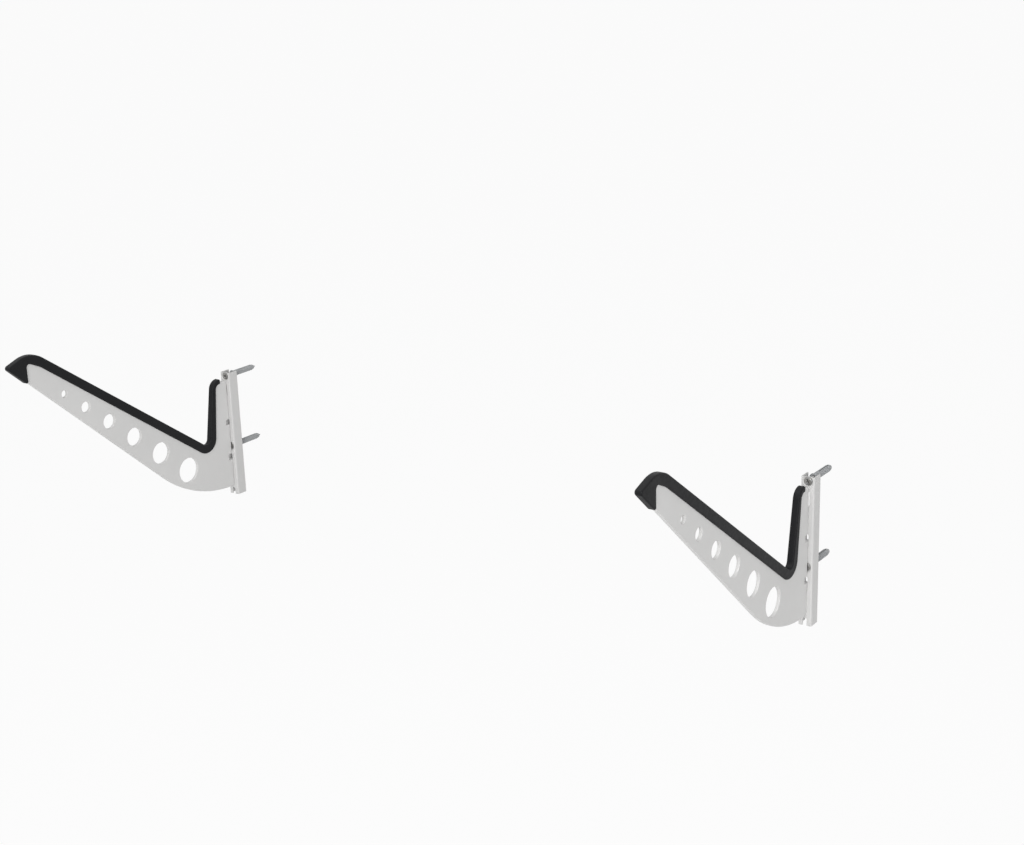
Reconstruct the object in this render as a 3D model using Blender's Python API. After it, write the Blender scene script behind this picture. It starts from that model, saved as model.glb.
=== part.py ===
"""Wall rack with two padded arms that hang in slotted rails, in metres, +Z up.

The wall is the plane y = 0 and the rack stands out of it towards -Y. The origin lies on the wall,
midway between the two rails and level with their upper ends. Each arm is laid out in the plane of
its plate as a clockwise run of straight lines, so that the left of every line is its outer side,
and the corners between the lines are rounded.
"""

import math

import bmesh
import bpy
from mathutils import Vector

# Fits and facets
FIT_GAP = 0.0003
ARC_STEP = math.radians(6.0)
ROUND_SIDES = 32
HOLE_SIDES = 48
CUT_MARGIN = 0.002

# Wall rails
ARM_SPACING = 0.870
RAIL_LENGTH = 0.175
RAIL_WIDTH = 0.016
RAIL_DEPTH = 0.0155
RAIL_WALL = 0.0015
RAIL_CORNER = 0.002
SLOT_PITCH = 0.050
SLOT_FIRST_DROP = 0.0156
SLOT_LENGTH = 0.018
SLOT_SIDE_PLAY = 0.0005
SLOT_ROUNDING = 0.999
SCREW_FIRST_DROP = 0.005
SCREW_PITCH = 0.100
SCREWS_PER_RAIL = 2
DIMPLE_RADIUS = 0.0065
SCREW_HOLE_PLAY = 0.0005
CUP_ROOT_SHARE = 2 / 3

# Wall screws and plugs
SCREW_RADIUS = 0.00225
SCREW_LENGTH = 0.060
SCREW_POINT_LENGTH = 0.006
SCREW_HEAD_RADIUS = 0.0048
SCREW_HEAD_RIM = 0.0004
RECESS_ARM = 0.0026
RECESS_WIDTH = 0.0010
RECESS_DEPTH = 0.0018
PLUG_RADIUS = 0.0040
PLUG_LENGTH = 0.040
PLUG_RIM_RADIUS = 0.0050
PLUG_RIM_THICKNESS = 0.0010
PLUG_SLIT_WIDTH = 0.0012
PLUG_SLIT_START = 0.012

# Arm plate: reaches are from the rail's face, heights from the lower end of the upper hook's slot
PLATE_THICKNESS = 0.004
SEAT_SLOPE = 35.9
VALLEY_REACH = 0.0417
VALLEY_HEIGHT = -0.0120
VALLEY_RADIUS = 0.007
TONGUE_LEAN = 9.6
TONGUE_TOP_HEIGHT = 0.0781
TONGUE_TOP_RADIUS = 0.0135
CREST_REACH = 0.3221
CREST_RADIUS = 0.038
NOSE_FALL = 19.0
PLATE_TIP_RADIUS = 0.006
LOWER_EDGE_SLOPE = 42.1
BELLY_REACH = 0.0744
BELLY_HEIGHT = -0.0786
REAR_TOP_RADIUS = 0.001
REAR_BOTTOM_RADIUS = 0.002
REAR_BOTTOM_ROOM = 0.0021

# Holes in the plate, counted from the front
HOLE_COUNT = 6
FRONT_HOLE_DIAMETER = 0.009
REAR_HOLE_DIAMETER = 0.034
REAR_HOLE_REACH = 0.0831
REAR_HOLE_HEIGHT = -0.0320
HOLE_ROW_LENGTH = 0.2505

# Hooks on the plate's rear edge
UPPER_HOOK_SLOT = 1
HOOK_COUNT = 2
HOOK_NECK_HEIGHT = 0.0085
HOOK_DROP = 0.0062
HOOK_THICKNESS = 0.0035
HOOK_CORNER = 0.0008
NOTCH_HEIGHT = 0.008
NOTCH_DEPTH = 0.006

# Rubber edge pad
PAD_OVER = 0.004
PAD_UNDER = 0.002
PAD_SIDE = 0.002
LIP_DEPTH = 0.0115
LIP_DEPTH_AT_TOP = 0.0067
LIP_BEND_SETBACK = 0.0203
LIP_BEND_RADIUS = 0.045
LIP_CREST_SLOPE = 25.0
PAD_END_REACH = 0.0130
PAD_END_RADIUS = 0.0008
CAP_BACK_REACH = 0.3310
CAP_CORNER_RADIUS = 0.004
CAP_FOOT_RADIUS = 0.0012
PAD_TIP_RADIUS = 0.0035

# Values that follow from the sizes above
SLOT_WIDTH = PLATE_THICKNESS + 2 * SLOT_SIDE_PLAY
SCREW_HOLE_RADIUS = SCREW_RADIUS + SCREW_HOLE_PLAY
RAIL_FACE_Y = -RAIL_DEPTH
WEB_BACK_Y = RAIL_FACE_Y + RAIL_WALL
SLOT_END_Z = -(SLOT_FIRST_DROP + UPPER_HOOK_SLOT * SLOT_PITCH + SLOT_LENGTH)
SLOT_END_RADIUS = SLOT_WIDTH / 2
ROUND_END_RISE = SLOT_END_RADIUS - math.sqrt(SLOT_END_RADIUS**2 - (PLATE_THICKNESS / 2) ** 2)
HOOK_REST_Z = SLOT_END_Z + ROUND_END_RISE
BELLY_RUN = BELLY_REACH - FIT_GAP - REAR_BOTTOM_ROOM
BELLY_RADIUS = BELLY_RUN / math.tan(math.radians(LOWER_EDGE_SLOPE) / 2)
RISE = Vector((0.0, 0.0, 1.0))


def clear_scene():
    """Remove whatever objects the open file holds."""
    for item in list(bpy.data.objects):
        bpy.data.objects.remove(item, do_unlink=True)


def finish(name, colour, roughness, metallic=0.0):
    """A Principled material."""
    material = bpy.data.materials.new(name)
    material.use_nodes = True
    shader = material.node_tree.nodes["Principled BSDF"]
    shader.inputs["Base Color"].default_value = (*colour, 1.0)
    shader.inputs["Roughness"].default_value = roughness
    shader.inputs["Metallic"].default_value = metallic
    return material


def line(y, z, degrees):
    """A directed line in the plane of the plate: a point on it and its heading."""
    heading = math.radians(degrees)
    return Vector((y, z)), Vector((math.cos(heading), math.sin(heading)))


def outward(edge, distance):
    """The same line moved to its outer side, which is its left."""
    point, heading = edge
    return point + distance * Vector((-heading.y, heading.x)), heading


def meet(first, second):
    """The point where two lines cross."""
    (point_a, heading_a), (point_b, heading_b) = first, second
    across = heading_a.x * heading_b.y - heading_a.y * heading_b.x
    gap = point_b - point_a
    along = (gap.x * heading_b.y - gap.y * heading_b.x) / across
    return point_a + along * heading_a


def rounded(corners):
    """Points of a closed outline whose corners, given as (point, radius), are rounded."""
    outline = []
    for index, (corner, radius) in enumerate(corners):
        before = (corners[index - 1][0] - corner).normalized()
        after = (corners[(index + 1) % len(corners)][0] - corner).normalized()
        if radius <= 0.0:
            outline.append(corner.copy())
            continue
        half_angle = before.angle(after) / 2
        centre = corner + (before + after).normalized() * (radius / math.sin(half_angle))
        start = corner + before * (radius / math.tan(half_angle)) - centre
        turn = math.pi - 2 * half_angle
        if before.x * after.y - before.y * after.x > 0.0:
            turn = -turn
        steps = max(2, math.ceil(abs(turn) / ARC_STEP))
        for step in range(steps + 1):
            angle = turn * step / steps
            cosine, sine = math.cos(angle), math.sin(angle)
            spoke = Vector((start.x * cosine - start.y * sine, start.x * sine + start.y * cosine))
            outline.append(centre + spoke)
    return outline


def corner_list(edges):
    """Corners of a closed run of (line, radius at the line's end)."""
    lines = [edge for edge, _ in edges]
    return [
        (meet(edge, lines[(index + 1) % len(lines)]), radius)
        for index, (edge, radius) in enumerate(edges)
    ]


def prism(name, ring, push):
    """A solid whose flat ring of 3-D points is pushed along a vector."""
    form = bmesh.new()
    face = form.faces.new([form.verts.new(point) for point in ring])
    pushed = bmesh.ops.extrude_face_region(form, geom=[face])
    moved = [item for item in pushed["geom"] if isinstance(item, bmesh.types.BMVert)]
    bmesh.ops.translate(form, verts=moved, vec=push)
    bmesh.ops.recalc_face_normals(form, faces=form.faces)
    mesh = bpy.data.meshes.new(name)
    form.to_mesh(mesh)
    form.free()
    return place(name, mesh)


def place(name, mesh):
    """An object for a mesh, in the scene."""
    item = bpy.data.objects.new(name, mesh)
    bpy.context.scene.collection.objects.link(item)
    return item


def plate_prism(name, outline, half_thickness):
    """A solid of the given (y, z) outline, standing across X about x = 0."""
    ring = [Vector((-half_thickness, point.x, point.y)) for point in outline]
    return prism(name, ring, Vector((2 * half_thickness, 0.0, 0.0)))


def turned(name, profile, centre):
    """A round solid about a line along Y through centre: profile is (y, radius), front to back."""
    form = bmesh.new()
    rings = []
    for y, radius in profile:
        if radius == 0.0:
            rings.append([form.verts.new((0.0, y, 0.0))])
            continue
        angles = [2 * math.pi * side / ROUND_SIDES for side in range(ROUND_SIDES)]
        rings.append([form.verts.new((radius * math.cos(a), y, radius * math.sin(a))) for a in angles])
    for near, far in zip(rings, rings[1:]):
        for side in range(ROUND_SIDES):
            after = (side + 1) % ROUND_SIDES
            quad = [near[side % len(near)], near[after % len(near)]]
            quad += [far[after % len(far)], far[side % len(far)]]
            form.faces.new(list(dict.fromkeys(quad)))
    for ring in (rings[0], rings[-1]):
        if len(ring) > 1:
            form.faces.new(ring)
    bmesh.ops.recalc_face_normals(form, faces=form.faces)
    bmesh.ops.translate(form, verts=form.verts, vec=centre)
    mesh = bpy.data.meshes.new(name)
    form.to_mesh(mesh)
    form.free()
    return place(name, mesh)


def box(name, low, high):
    """A plain box between two corners."""
    ring = [(low.x, low.y), (high.x, low.y), (high.x, high.y), (low.x, high.y)]
    return prism(name, [Vector((x, y, low.z)) for x, y in ring], RISE * (high.z - low.z))


def combine(base, tool, operation):
    """Join a tool solid to the base or cut it away, and drop the tool."""
    step = base.modifiers.new(operation.title(), "BOOLEAN")
    step.solver = "EXACT"
    step.operation = operation
    step.object = tool
    evaluated = base.evaluated_get(bpy.context.evaluated_depsgraph_get())
    result = bpy.data.meshes.new_from_object(evaluated)
    base.modifiers.remove(step)
    base.data = result
    bpy.data.objects.remove(tool, do_unlink=True)


def take_mesh(item, shaded_round=False):
    """The finished mesh of a template object, which is removed."""
    mesh = item.data
    bpy.data.objects.remove(item, do_unlink=True)
    if shaded_round:
        mesh.shade_smooth()
        mesh.set_sharp_from_angle(angle=math.radians(30.0))
    return mesh


def slot_tops():
    """Upper ends of the slots, down to the last that starts above the rail's lower end."""
    count = math.ceil((RAIL_LENGTH - SLOT_FIRST_DROP) / SLOT_PITCH)
    return [-(SLOT_FIRST_DROP + index * SLOT_PITCH) for index in range(count)]


def screw_heights():
    """Heights of the screw holes down a rail."""
    return [-(SCREW_FIRST_DROP + index * SCREW_PITCH) for index in range(SCREWS_PER_RAIL)]


def slot_cutter(top):
    """A round-ended slot through the rail's face."""
    half_width = SLOT_END_RADIUS
    corners = [(-half_width, top), (half_width, top)]
    corners += [(half_width, top - SLOT_LENGTH), (-half_width, top - SLOT_LENGTH)]
    outline = rounded([(Vector(corner), SLOT_ROUNDING * SLOT_END_RADIUS) for corner in corners])
    front = RAIL_FACE_Y - CUT_MARGIN
    ring = [Vector((point.x, front, point.y)) for point in outline]
    return prism("slot_cutter", ring, Vector((0.0, RAIL_WALL + 2 * CUT_MARGIN, 0.0)))


def rail_mesh():
    """Slotted channel, open towards the wall, with screw dimples pressed into its face."""
    half, inner = RAIL_WIDTH / 2, RAIL_WIDTH / 2 - RAIL_WALL
    inner_corner = RAIL_CORNER - RAIL_WALL
    corners = [
        (Vector((-half, 0.0)), 0.0),
        (Vector((-half, RAIL_FACE_Y)), RAIL_CORNER),
        (Vector((half, RAIL_FACE_Y)), RAIL_CORNER),
        (Vector((half, 0.0)), 0.0),
        (Vector((inner, 0.0)), 0.0),
        (Vector((inner, WEB_BACK_Y)), inner_corner),
        (Vector((-inner, WEB_BACK_Y)), inner_corner),
        (Vector((-inner, 0.0)), 0.0),
    ]
    ring = [Vector((point.x, point.y, -RAIL_LENGTH)) for point in rounded(corners)]
    rail = prism("rail_template", ring, RISE * RAIL_LENGTH)
    slant = RAIL_WALL * math.sqrt(2.0)
    hole_depth = DIMPLE_RADIUS - SCREW_HOLE_RADIUS
    foot_depth = hole_depth + slant - RAIL_WALL
    root_depth = CUP_ROOT_SHARE * RAIL_WALL
    for height in screw_heights():
        centre = Vector((0.0, RAIL_FACE_Y, height))
        cup = [
            (root_depth, DIMPLE_RADIUS + slant - root_depth),
            (foot_depth, DIMPLE_RADIUS + slant - foot_depth),
        ]
        combine(rail, turned("dimple_cup", cup, centre), "UNION")
        bowl = [
            (-CUT_MARGIN, DIMPLE_RADIUS + CUT_MARGIN),
            (hole_depth, SCREW_HOLE_RADIUS),
            (foot_depth + CUT_MARGIN, SCREW_HOLE_RADIUS),
        ]
        combine(rail, turned("dimple_bowl", bowl, centre), "DIFFERENCE")
    for top in slot_tops():
        combine(rail, slot_cutter(top), "DIFFERENCE")
    low = Vector((-RAIL_WIDTH, -2 * RAIL_DEPTH, 0.0))
    high = Vector((RAIL_WIDTH, RAIL_DEPTH, RAIL_WIDTH))
    combine(rail, box("end_cut", low, high), "DIFFERENCE")
    return take_mesh(rail, shaded_round=True)


def screw_head_y():
    """Where the flat top of a countersunk head lies once it is seated in its dimple."""
    seat_gap = FIT_GAP * math.sqrt(2.0)
    return RAIL_FACE_Y + DIMPLE_RADIUS - SCREW_HEAD_RADIUS - SCREW_HEAD_RIM - seat_gap


def screw_mesh():
    """Countersunk wood screw with a cross recess, pointing into the wall."""
    top = screw_head_y()
    cone_start = top + SCREW_HEAD_RIM
    cone_end = cone_start + SCREW_HEAD_RADIUS - SCREW_RADIUS
    profile = [
        (top, SCREW_HEAD_RADIUS),
        (cone_start, SCREW_HEAD_RADIUS),
        (cone_end, SCREW_RADIUS),
        (top + SCREW_LENGTH - SCREW_POINT_LENGTH, SCREW_RADIUS),
        (top + SCREW_LENGTH, 0.0),
    ]
    screw = turned("screw_template", profile, Vector((0.0, 0.0, 0.0)))
    for reach, half in ((RECESS_ARM, RECESS_WIDTH / 2), (RECESS_WIDTH / 2, RECESS_ARM)):
        low = Vector((-reach, top - CUT_MARGIN, -half))
        high = Vector((reach, top + RECESS_DEPTH, half))
        combine(screw, box("recess_cut", low, high), "DIFFERENCE")
    return take_mesh(screw, shaded_round=True)


def plug_mesh():
    """Wall plug: a rimmed sleeve that is slit over its deep end."""
    bore = SCREW_RADIUS + FIT_GAP
    outside = [
        (-PLUG_RIM_THICKNESS, PLUG_RIM_RADIUS),
        (0.0, PLUG_RIM_RADIUS),
        (0.0, PLUG_RADIUS),
        (PLUG_LENGTH, PLUG_RADIUS),
    ]
    origin = Vector((0.0, 0.0, 0.0))
    plug = turned("plug_template", outside, origin)
    inside = [(-PLUG_RIM_THICKNESS - CUT_MARGIN, bore), (PLUG_LENGTH + CUT_MARGIN, bore)]
    combine(plug, turned("bore_cut", inside, origin), "DIFFERENCE")
    low = Vector((-PLUG_SLIT_WIDTH / 2, PLUG_SLIT_START, -2 * PLUG_RADIUS))
    high = Vector((PLUG_SLIT_WIDTH / 2, PLUG_LENGTH + CUT_MARGIN, 2 * PLUG_RADIUS))
    combine(plug, box("slit_cut", low, high), "DIFFERENCE")
    return take_mesh(plug, shaded_round=True)


def arm_y(reach):
    """Y of a point at the given reach in front of the rail's face."""
    return RAIL_FACE_Y - reach


def arm_z(height):
    """Z of a point at the given height over the lower end of the upper hook's slot."""
    return SLOT_END_Z + height


def rest_lines():
    """The pad's upper side, which the load lies on: nose, seat slope, tongue and tongue top."""
    valley_y, valley_z = arm_y(VALLEY_REACH), arm_z(VALLEY_HEIGHT)
    slope = line(valley_y, valley_z, -SEAT_SLOPE)
    tongue = line(valley_y, valley_z, 90.0 - TONGUE_LEAN)
    top = line(valley_y, arm_z(TONGUE_TOP_HEIGHT), 0.0)
    crest_rise = (CREST_REACH - VALLEY_REACH) * math.tan(math.radians(SEAT_SLOPE))
    nose = line(arm_y(CREST_REACH), valley_z + crest_rise, NOSE_FALL)
    return nose, slope, tongue, top


def lower_line():
    """The plate's straight lower edge, heading up to the tip."""
    return line(arm_y(BELLY_REACH), arm_z(BELLY_HEIGHT), 180.0 - LOWER_EDGE_SLOPE)


def covered_edges(depth):
    """Edges of the plate under the pad, at a depth below the pad's upper side."""
    nose, slope, tongue, top = [outward(edge, -depth) for edge in rest_lines()]
    return [
        (nose, CREST_RADIUS - depth),
        (slope, VALLEY_RADIUS + depth),
        (tongue, TONGUE_TOP_RADIUS - depth),
        (top, REAR_TOP_RADIUS),
    ]


def hook_corners(rear_y, neck_bottom):
    """Corners of a relief notch and the hook below it, read downwards."""
    neck_top = neck_bottom + HOOK_NECK_HEIGHT
    notch_y, front_y = rear_y - NOTCH_DEPTH, WEB_BACK_Y + FIT_GAP
    back_y = front_y + HOOK_THICKNESS
    return [
        (Vector((rear_y, neck_top + NOTCH_HEIGHT)), HOOK_CORNER),
        (Vector((notch_y, neck_top + NOTCH_HEIGHT)), HOOK_CORNER),
        (Vector((notch_y, neck_top)), HOOK_CORNER),
        (Vector((back_y, neck_top)), HOOK_CORNER),
        (Vector((back_y, neck_bottom - HOOK_DROP)), HOOK_CORNER),
        (Vector((front_y, neck_bottom - HOOK_DROP)), HOOK_CORNER),
        (Vector((front_y, neck_bottom)), 0.0),
        (Vector((rear_y, neck_bottom)), 0.0),
    ]


def plate_corners(grow, hooked):
    """Corners of the plate's outline, grown on every side, with or without its hooks."""
    rear_y = RAIL_FACE_Y - FIT_GAP
    edges = covered_edges(PAD_OVER + FIT_GAP - grow)
    edges.append((line(rear_y, 0.0, -90.0), REAR_BOTTOM_RADIUS))
    edges.append((line(rear_y, arm_z(BELLY_HEIGHT) - grow, 180.0), BELLY_RADIUS))
    edges.append((outward(lower_line(), grow), PLATE_TIP_RADIUS))
    corners = corner_list(edges)
    if hooked:
        below_rear_top = 4
        for index in reversed(range(HOOK_COUNT)):
            neck_bottom = HOOK_REST_Z - index * SLOT_PITCH + FIT_GAP
            corners[below_rear_top:below_rear_top] = hook_corners(rear_y, neck_bottom)
    return corners


def hole_places():
    """Centre and radius of each round hole, from the largest, near the rail, to the front."""
    heading = math.radians(180.0 - (SEAT_SLOPE + LOWER_EDGE_SLOPE) / 2)
    along = Vector((math.cos(heading), math.sin(heading)))
    shrink = (REAR_HOLE_DIAMETER - FRONT_HOLE_DIAMETER) / (HOLE_COUNT - 1)
    radii = [(REAR_HOLE_DIAMETER - index * shrink) / 2 for index in range(HOLE_COUNT)]
    covered = 2 * sum(radii) - radii[0] - radii[-1]
    bridge = (HOLE_ROW_LENGTH - covered) / (HOLE_COUNT - 1)
    centre = Vector((arm_y(REAR_HOLE_REACH), arm_z(REAR_HOLE_HEIGHT)))
    places = [(centre, radii[0])]
    for larger, smaller in zip(radii, radii[1:]):
        centre = centre + along * (larger + bridge + smaller)
        places.append((centre, smaller))
    return places


def hole_cutter(centre, radius):
    """A round cutter across the plate."""
    angles = [2 * math.pi * side / HOLE_SIDES for side in range(HOLE_SIDES)]
    circle = [centre + radius * Vector((math.cos(a), math.sin(a))) for a in angles]
    return plate_prism("hole_cutter", circle, PLATE_THICKNESS)


def plate_mesh():
    """Flat arm plate with hooks and a row of round holes that grow towards the wall."""
    outline = rounded(plate_corners(0.0, hooked=True))
    plate = plate_prism("plate_template", outline, PLATE_THICKNESS / 2)
    for centre, radius in hole_places():
        combine(plate, hole_cutter(centre, radius), "DIFFERENCE")
    return take_mesh(plate)


def pad_corners():
    """Corners of the pad's side view: the upper side, then back along the edge of its lips."""
    nose, slope, tongue, top = rest_lines()
    end_y = arm_y(PAD_END_REACH)
    lip_top_z = arm_z(TONGUE_TOP_HEIGHT) - LIP_DEPTH_AT_TOP
    tongue_foot = meet(slope, tongue) + tongue[1] * VALLEY_RADIUS
    tongue_head = meet(tongue, top) - tongue[1] * TONGUE_TOP_RADIUS
    inward = Vector((tongue[1].y, -tongue[1].x))
    lip_foot = tongue_foot + inward * LIP_DEPTH
    lip_head = tongue_head + inward * LIP_DEPTH_AT_TOP
    lip_tongue = (lip_head, (lip_foot - lip_head).normalized())
    slope_point, slope_heading = outward(slope, -LIP_DEPTH)
    lip_slope = (slope_point, -slope_heading)
    bend = meet(lip_slope, line(arm_y(CAP_BACK_REACH - LIP_BEND_SETBACK), 0.0, -90.0))
    edges = [
        (nose, CREST_RADIUS),
        (slope, VALLEY_RADIUS),
        (tongue, TONGUE_TOP_RADIUS),
        (top, PAD_END_RADIUS),
        (line(end_y, 0.0, -90.0), PAD_END_RADIUS),
        (line(end_y, lip_top_z, 180.0), TONGUE_TOP_RADIUS - LIP_DEPTH_AT_TOP),
        (lip_tongue, VALLEY_RADIUS + LIP_DEPTH),
        (lip_slope, LIP_BEND_RADIUS),
        (line(bend.x, bend.y, 180.0 - LIP_CREST_SLOPE), CAP_CORNER_RADIUS),
        (line(arm_y(CAP_BACK_REACH), 0.0, -90.0), CAP_FOOT_RADIUS),
        (outward(lower_line(), PAD_UNDER), PAD_TIP_RADIUS),
    ]
    return corner_list(edges)


def pad_mesh():
    """Rubber pad that wraps the plate's upper edge, with a solid nose over the tip."""
    half_width = PLATE_THICKNESS / 2 + FIT_GAP + PAD_SIDE
    pad = plate_prism("pad_template", rounded(pad_corners()), half_width)
    groove_outline = rounded(plate_corners(FIT_GAP, hooked=False))
    groove = plate_prism("groove_cutter", groove_outline, PLATE_THICKNESS / 2 + FIT_GAP)
    combine(pad, groove, "DIFFERENCE")
    return take_mesh(pad)


def add_piece(name, mesh, material, location, parent=None):
    """One named piece with its own copy of the mesh and its material."""
    piece = place(name, mesh.copy())
    piece.data.name = name
    piece.data.materials.clear()
    piece.data.materials.append(material)
    piece.location = location
    if parent is not None:
        piece.parent = parent
        piece.location = Vector(location) - parent.location
    return piece


def add_arm_axis(name, location):
    """An empty on the line along which an arm lifts out of its slots."""
    axis = bpy.data.objects.new(name, None)
    axis.location = location
    bpy.context.scene.collection.objects.link(axis)
    return axis


def build_rack():
    """Make every piece of the rack on both sides."""
    coat = finish("rail_coat", (0.60, 0.60, 0.60), 0.45)
    plate_coat = finish("plate_coat", (0.66, 0.66, 0.66), 0.50)
    rubber = finish("pad_rubber", (0.018, 0.019, 0.022), 0.60)
    zinc = finish("screw_zinc", (0.55, 0.55, 0.57), 0.35, metallic=1.0)
    nylon = finish("plug_nylon", (0.42, 0.43, 0.44), 0.55)
    rail, plate, pad = rail_mesh(), plate_mesh(), pad_mesh()
    screw, plug = screw_mesh(), plug_mesh()
    for side, sign in (("left", -1), ("right", 1)):
        foot = Vector((sign * ARM_SPACING / 2, 0.0, 0.0))
        add_piece(f"{side}_rail", rail, coat, foot)
        for number, height in enumerate(screw_heights(), start=1):
            spot = foot + RISE * height
            add_piece(f"{side}_wall_screw_{number}", screw, zinc, spot)
            add_piece(f"{side}_wall_plug_{number}", plug, nylon, spot)
        axis = add_arm_axis(f"{side}_arm_lift", foot + RISE * HOOK_REST_Z)
        add_piece(f"{side}_arm_plate", plate, plate_coat, foot, parent=axis)
        add_piece(f"{side}_edge_pad", pad, rubber, foot, parent=axis)


clear_scene()
build_rack()
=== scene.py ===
"""Dress the padded wall rack: finer pieces in place of the model's, their finishes, light and camera.

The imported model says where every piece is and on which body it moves. Each class below makes one
kind of piece from its own sizes, in metres, in the place of the model's node. Side views of the arm
are drawn in (y, z) as a clockwise run of straight lines, so that the left of every line is its
outer side, and the corners between the lines are rounded.
"""

import logging
import math
from dataclasses import dataclass
from enum import Enum

import bmesh
import bpy
from mathutils import Euler, Matrix, Vector


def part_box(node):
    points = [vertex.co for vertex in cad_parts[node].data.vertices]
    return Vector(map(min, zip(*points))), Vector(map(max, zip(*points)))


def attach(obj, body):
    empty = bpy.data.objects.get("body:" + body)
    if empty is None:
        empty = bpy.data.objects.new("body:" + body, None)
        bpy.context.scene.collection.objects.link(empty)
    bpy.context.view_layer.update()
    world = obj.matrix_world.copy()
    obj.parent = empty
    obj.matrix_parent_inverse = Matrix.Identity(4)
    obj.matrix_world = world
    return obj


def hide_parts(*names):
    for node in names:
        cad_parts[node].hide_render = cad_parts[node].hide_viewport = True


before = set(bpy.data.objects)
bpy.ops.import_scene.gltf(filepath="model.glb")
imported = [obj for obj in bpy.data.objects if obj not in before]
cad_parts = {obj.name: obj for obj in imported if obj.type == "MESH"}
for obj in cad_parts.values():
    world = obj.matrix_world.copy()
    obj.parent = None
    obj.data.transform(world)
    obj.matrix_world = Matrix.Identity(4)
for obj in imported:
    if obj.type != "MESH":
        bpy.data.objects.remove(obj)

LOG = logging.getLogger("wall_rack")
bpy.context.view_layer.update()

# A rounded corner turns by at most this much at each facet.
ARC_STEP = math.radians(3.0)

# The play between steel parts that fit together.
FIT_GAP = 0.0003

# How far a cutting tool stands past what it cuts, and the size of one that clears all in its way.
CUT_MARGIN = 0.002
CLEARING_SIZE = 0.1

# Points closer than this become one.
WELD_DISTANCE = 1e-7

# Shading: every edge from the crisp angle up stays sharp. Faces that turn less than the flat angle
# are one flat region, and the rim of a region larger than the area stays sharp too.
CRISP_ANGLE = math.radians(40.0)
FLAT_ANGLE = math.radians(0.5)
FLAT_FACE_AREA = 1e-4


class Side(Enum):
    """The two halves of the rack, as seen from the room."""

    LEFT = "left"
    RIGHT = "right"

    def node(self, part: str) -> str:
        """Name of the model's node for one of this half's parts."""
        return f"{self.value}_{part}"

    def centre_x(self) -> float:
        """Middle of this half's rail along the wall."""
        low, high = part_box(self.node("rail"))
        return (low.x + high.x) / 2


class Height(Enum):
    """The two screw places on a rail, with the numbers that the model's nodes carry."""

    UPPER = 1
    LOWER = 2


class Mix(Enum):
    """How a tool solid is combined with another."""

    JOIN = "UNION"
    CUT = "DIFFERENCE"


@dataclass(frozen=True)
class Line:
    """A directed line in a drawing plane, with the shape that it bounds on its right."""

    point: Vector
    heading: Vector

    @classmethod
    def at(cls, across: float, up: float, degrees: float) -> "Line":
        """Make a line through a point.

        Args:
            across: First coordinate of the point.
            up: Second coordinate of the point.
            degrees: Heading, counted from the first axis towards the second.

        Returns:
            The line.
        """
        angle = math.radians(degrees)
        return cls(Vector((across, up)), Vector((math.cos(angle), math.sin(angle))))

    @classmethod
    def between(cls, start: Vector, end: Vector) -> "Line":
        """The line that runs from one point to another."""
        return cls(start, (end - start).normalized())

    def moved_out(self, distance: float) -> "Line":
        """The same line moved to its outer side, which is its left."""
        return Line(self.point + distance * Vector((-self.heading.y, self.heading.x)), self.heading)

    def meet(self, other: "Line") -> Vector:
        """Find where this line crosses another.

        Args:
            other: The other line, which isn't parallel to this one.

        Returns:
            The point.
        """
        across = self.heading.x * other.heading.y - self.heading.y * other.heading.x
        gap = other.point - self.point
        along = (gap.x * other.heading.y - gap.y * other.heading.x) / across
        return self.point + along * self.heading


@dataclass(frozen=True)
class Corner:
    """A corner of an outline and the radius that rounds it."""

    point: Vector
    radius: float


class Outline:
    """A closed clockwise outline of straight sides with rounded corners."""

    def __init__(self, corners: list[Corner]) -> None:
        """Keep the corners and the sides between them.

        Args:
            corners: The corners, read clockwise.
        """
        self.corners = corners
        points = [corner.point for corner in corners]
        self.sides = [Line.between(points[index - 1], point) for index, point in enumerate(points)]

    @classmethod
    def of_lines(cls, runs: list[tuple[Line, float]]) -> "Outline":
        """Make an outline from its sides.

        Args:
            runs: Each side in order, with the radius at the corner where it ends.

        Returns:
            The outline.
        """
        lines = [line for line, _ in runs]
        following = lines[1:] + lines[:1]
        return cls([Corner(line.meet(after), radius) for (line, radius), after in zip(runs, following)])

    def ring(self, inset: float = 0.0) -> list[Vector]:
        """Points along the outline, moved in by a distance.

        Args:
            inset: How far inside the outline the ring runs.

        Returns:
            The points, of which there are equally many at every inset.
        """
        moved = [side.moved_out(-inset) for side in self.sides]
        following = moved[1:] + moved[:1]
        points = []
        for corner, before, after in zip(self.corners, moved, following):
            points.extend(self._round(before, after, corner.radius, inset))
        return points

    def _round(self, before: Line, after: Line, radius: float, inset: float) -> list[Vector]:
        """Round one corner.

        Args:
            before: The side that ends at the corner.
            after: The side that starts there.
            radius: Radius of the corner on the outline itself.
            inset: How far inside the outline both sides lie.

        Returns:
            The points round the corner, or the corner's own where it is sharp.
        """
        corner = before.meet(after)
        if radius <= 0.0:
            return [corner]
        turn = before.heading.angle_signed(after.heading)
        steps = max(2, math.ceil(abs(turn) / ARC_STEP))
        bend = max(0.0, radius - inset if turn > 0.0 else radius + inset)
        centre_side = -1.0 if turn > 0.0 else 1.0
        start = corner - before.heading * (bend * math.tan(abs(turn) / 2))
        spoke = Vector((before.heading.y, -before.heading.x)) * (-centre_side * bend)
        centre = start + spoke
        return [centre + turned(-spoke, -turn * step / steps) for step in range(steps + 1)]


def turned(arrow: Vector, angle: float) -> Vector:
    """A plane vector turned anticlockwise by an angle in radians."""
    cosine, sine = math.cos(angle), math.sin(angle)
    return Vector((arrow.x * cosine - arrow.y * sine, arrow.x * sine + arrow.y * cosine))


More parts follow.
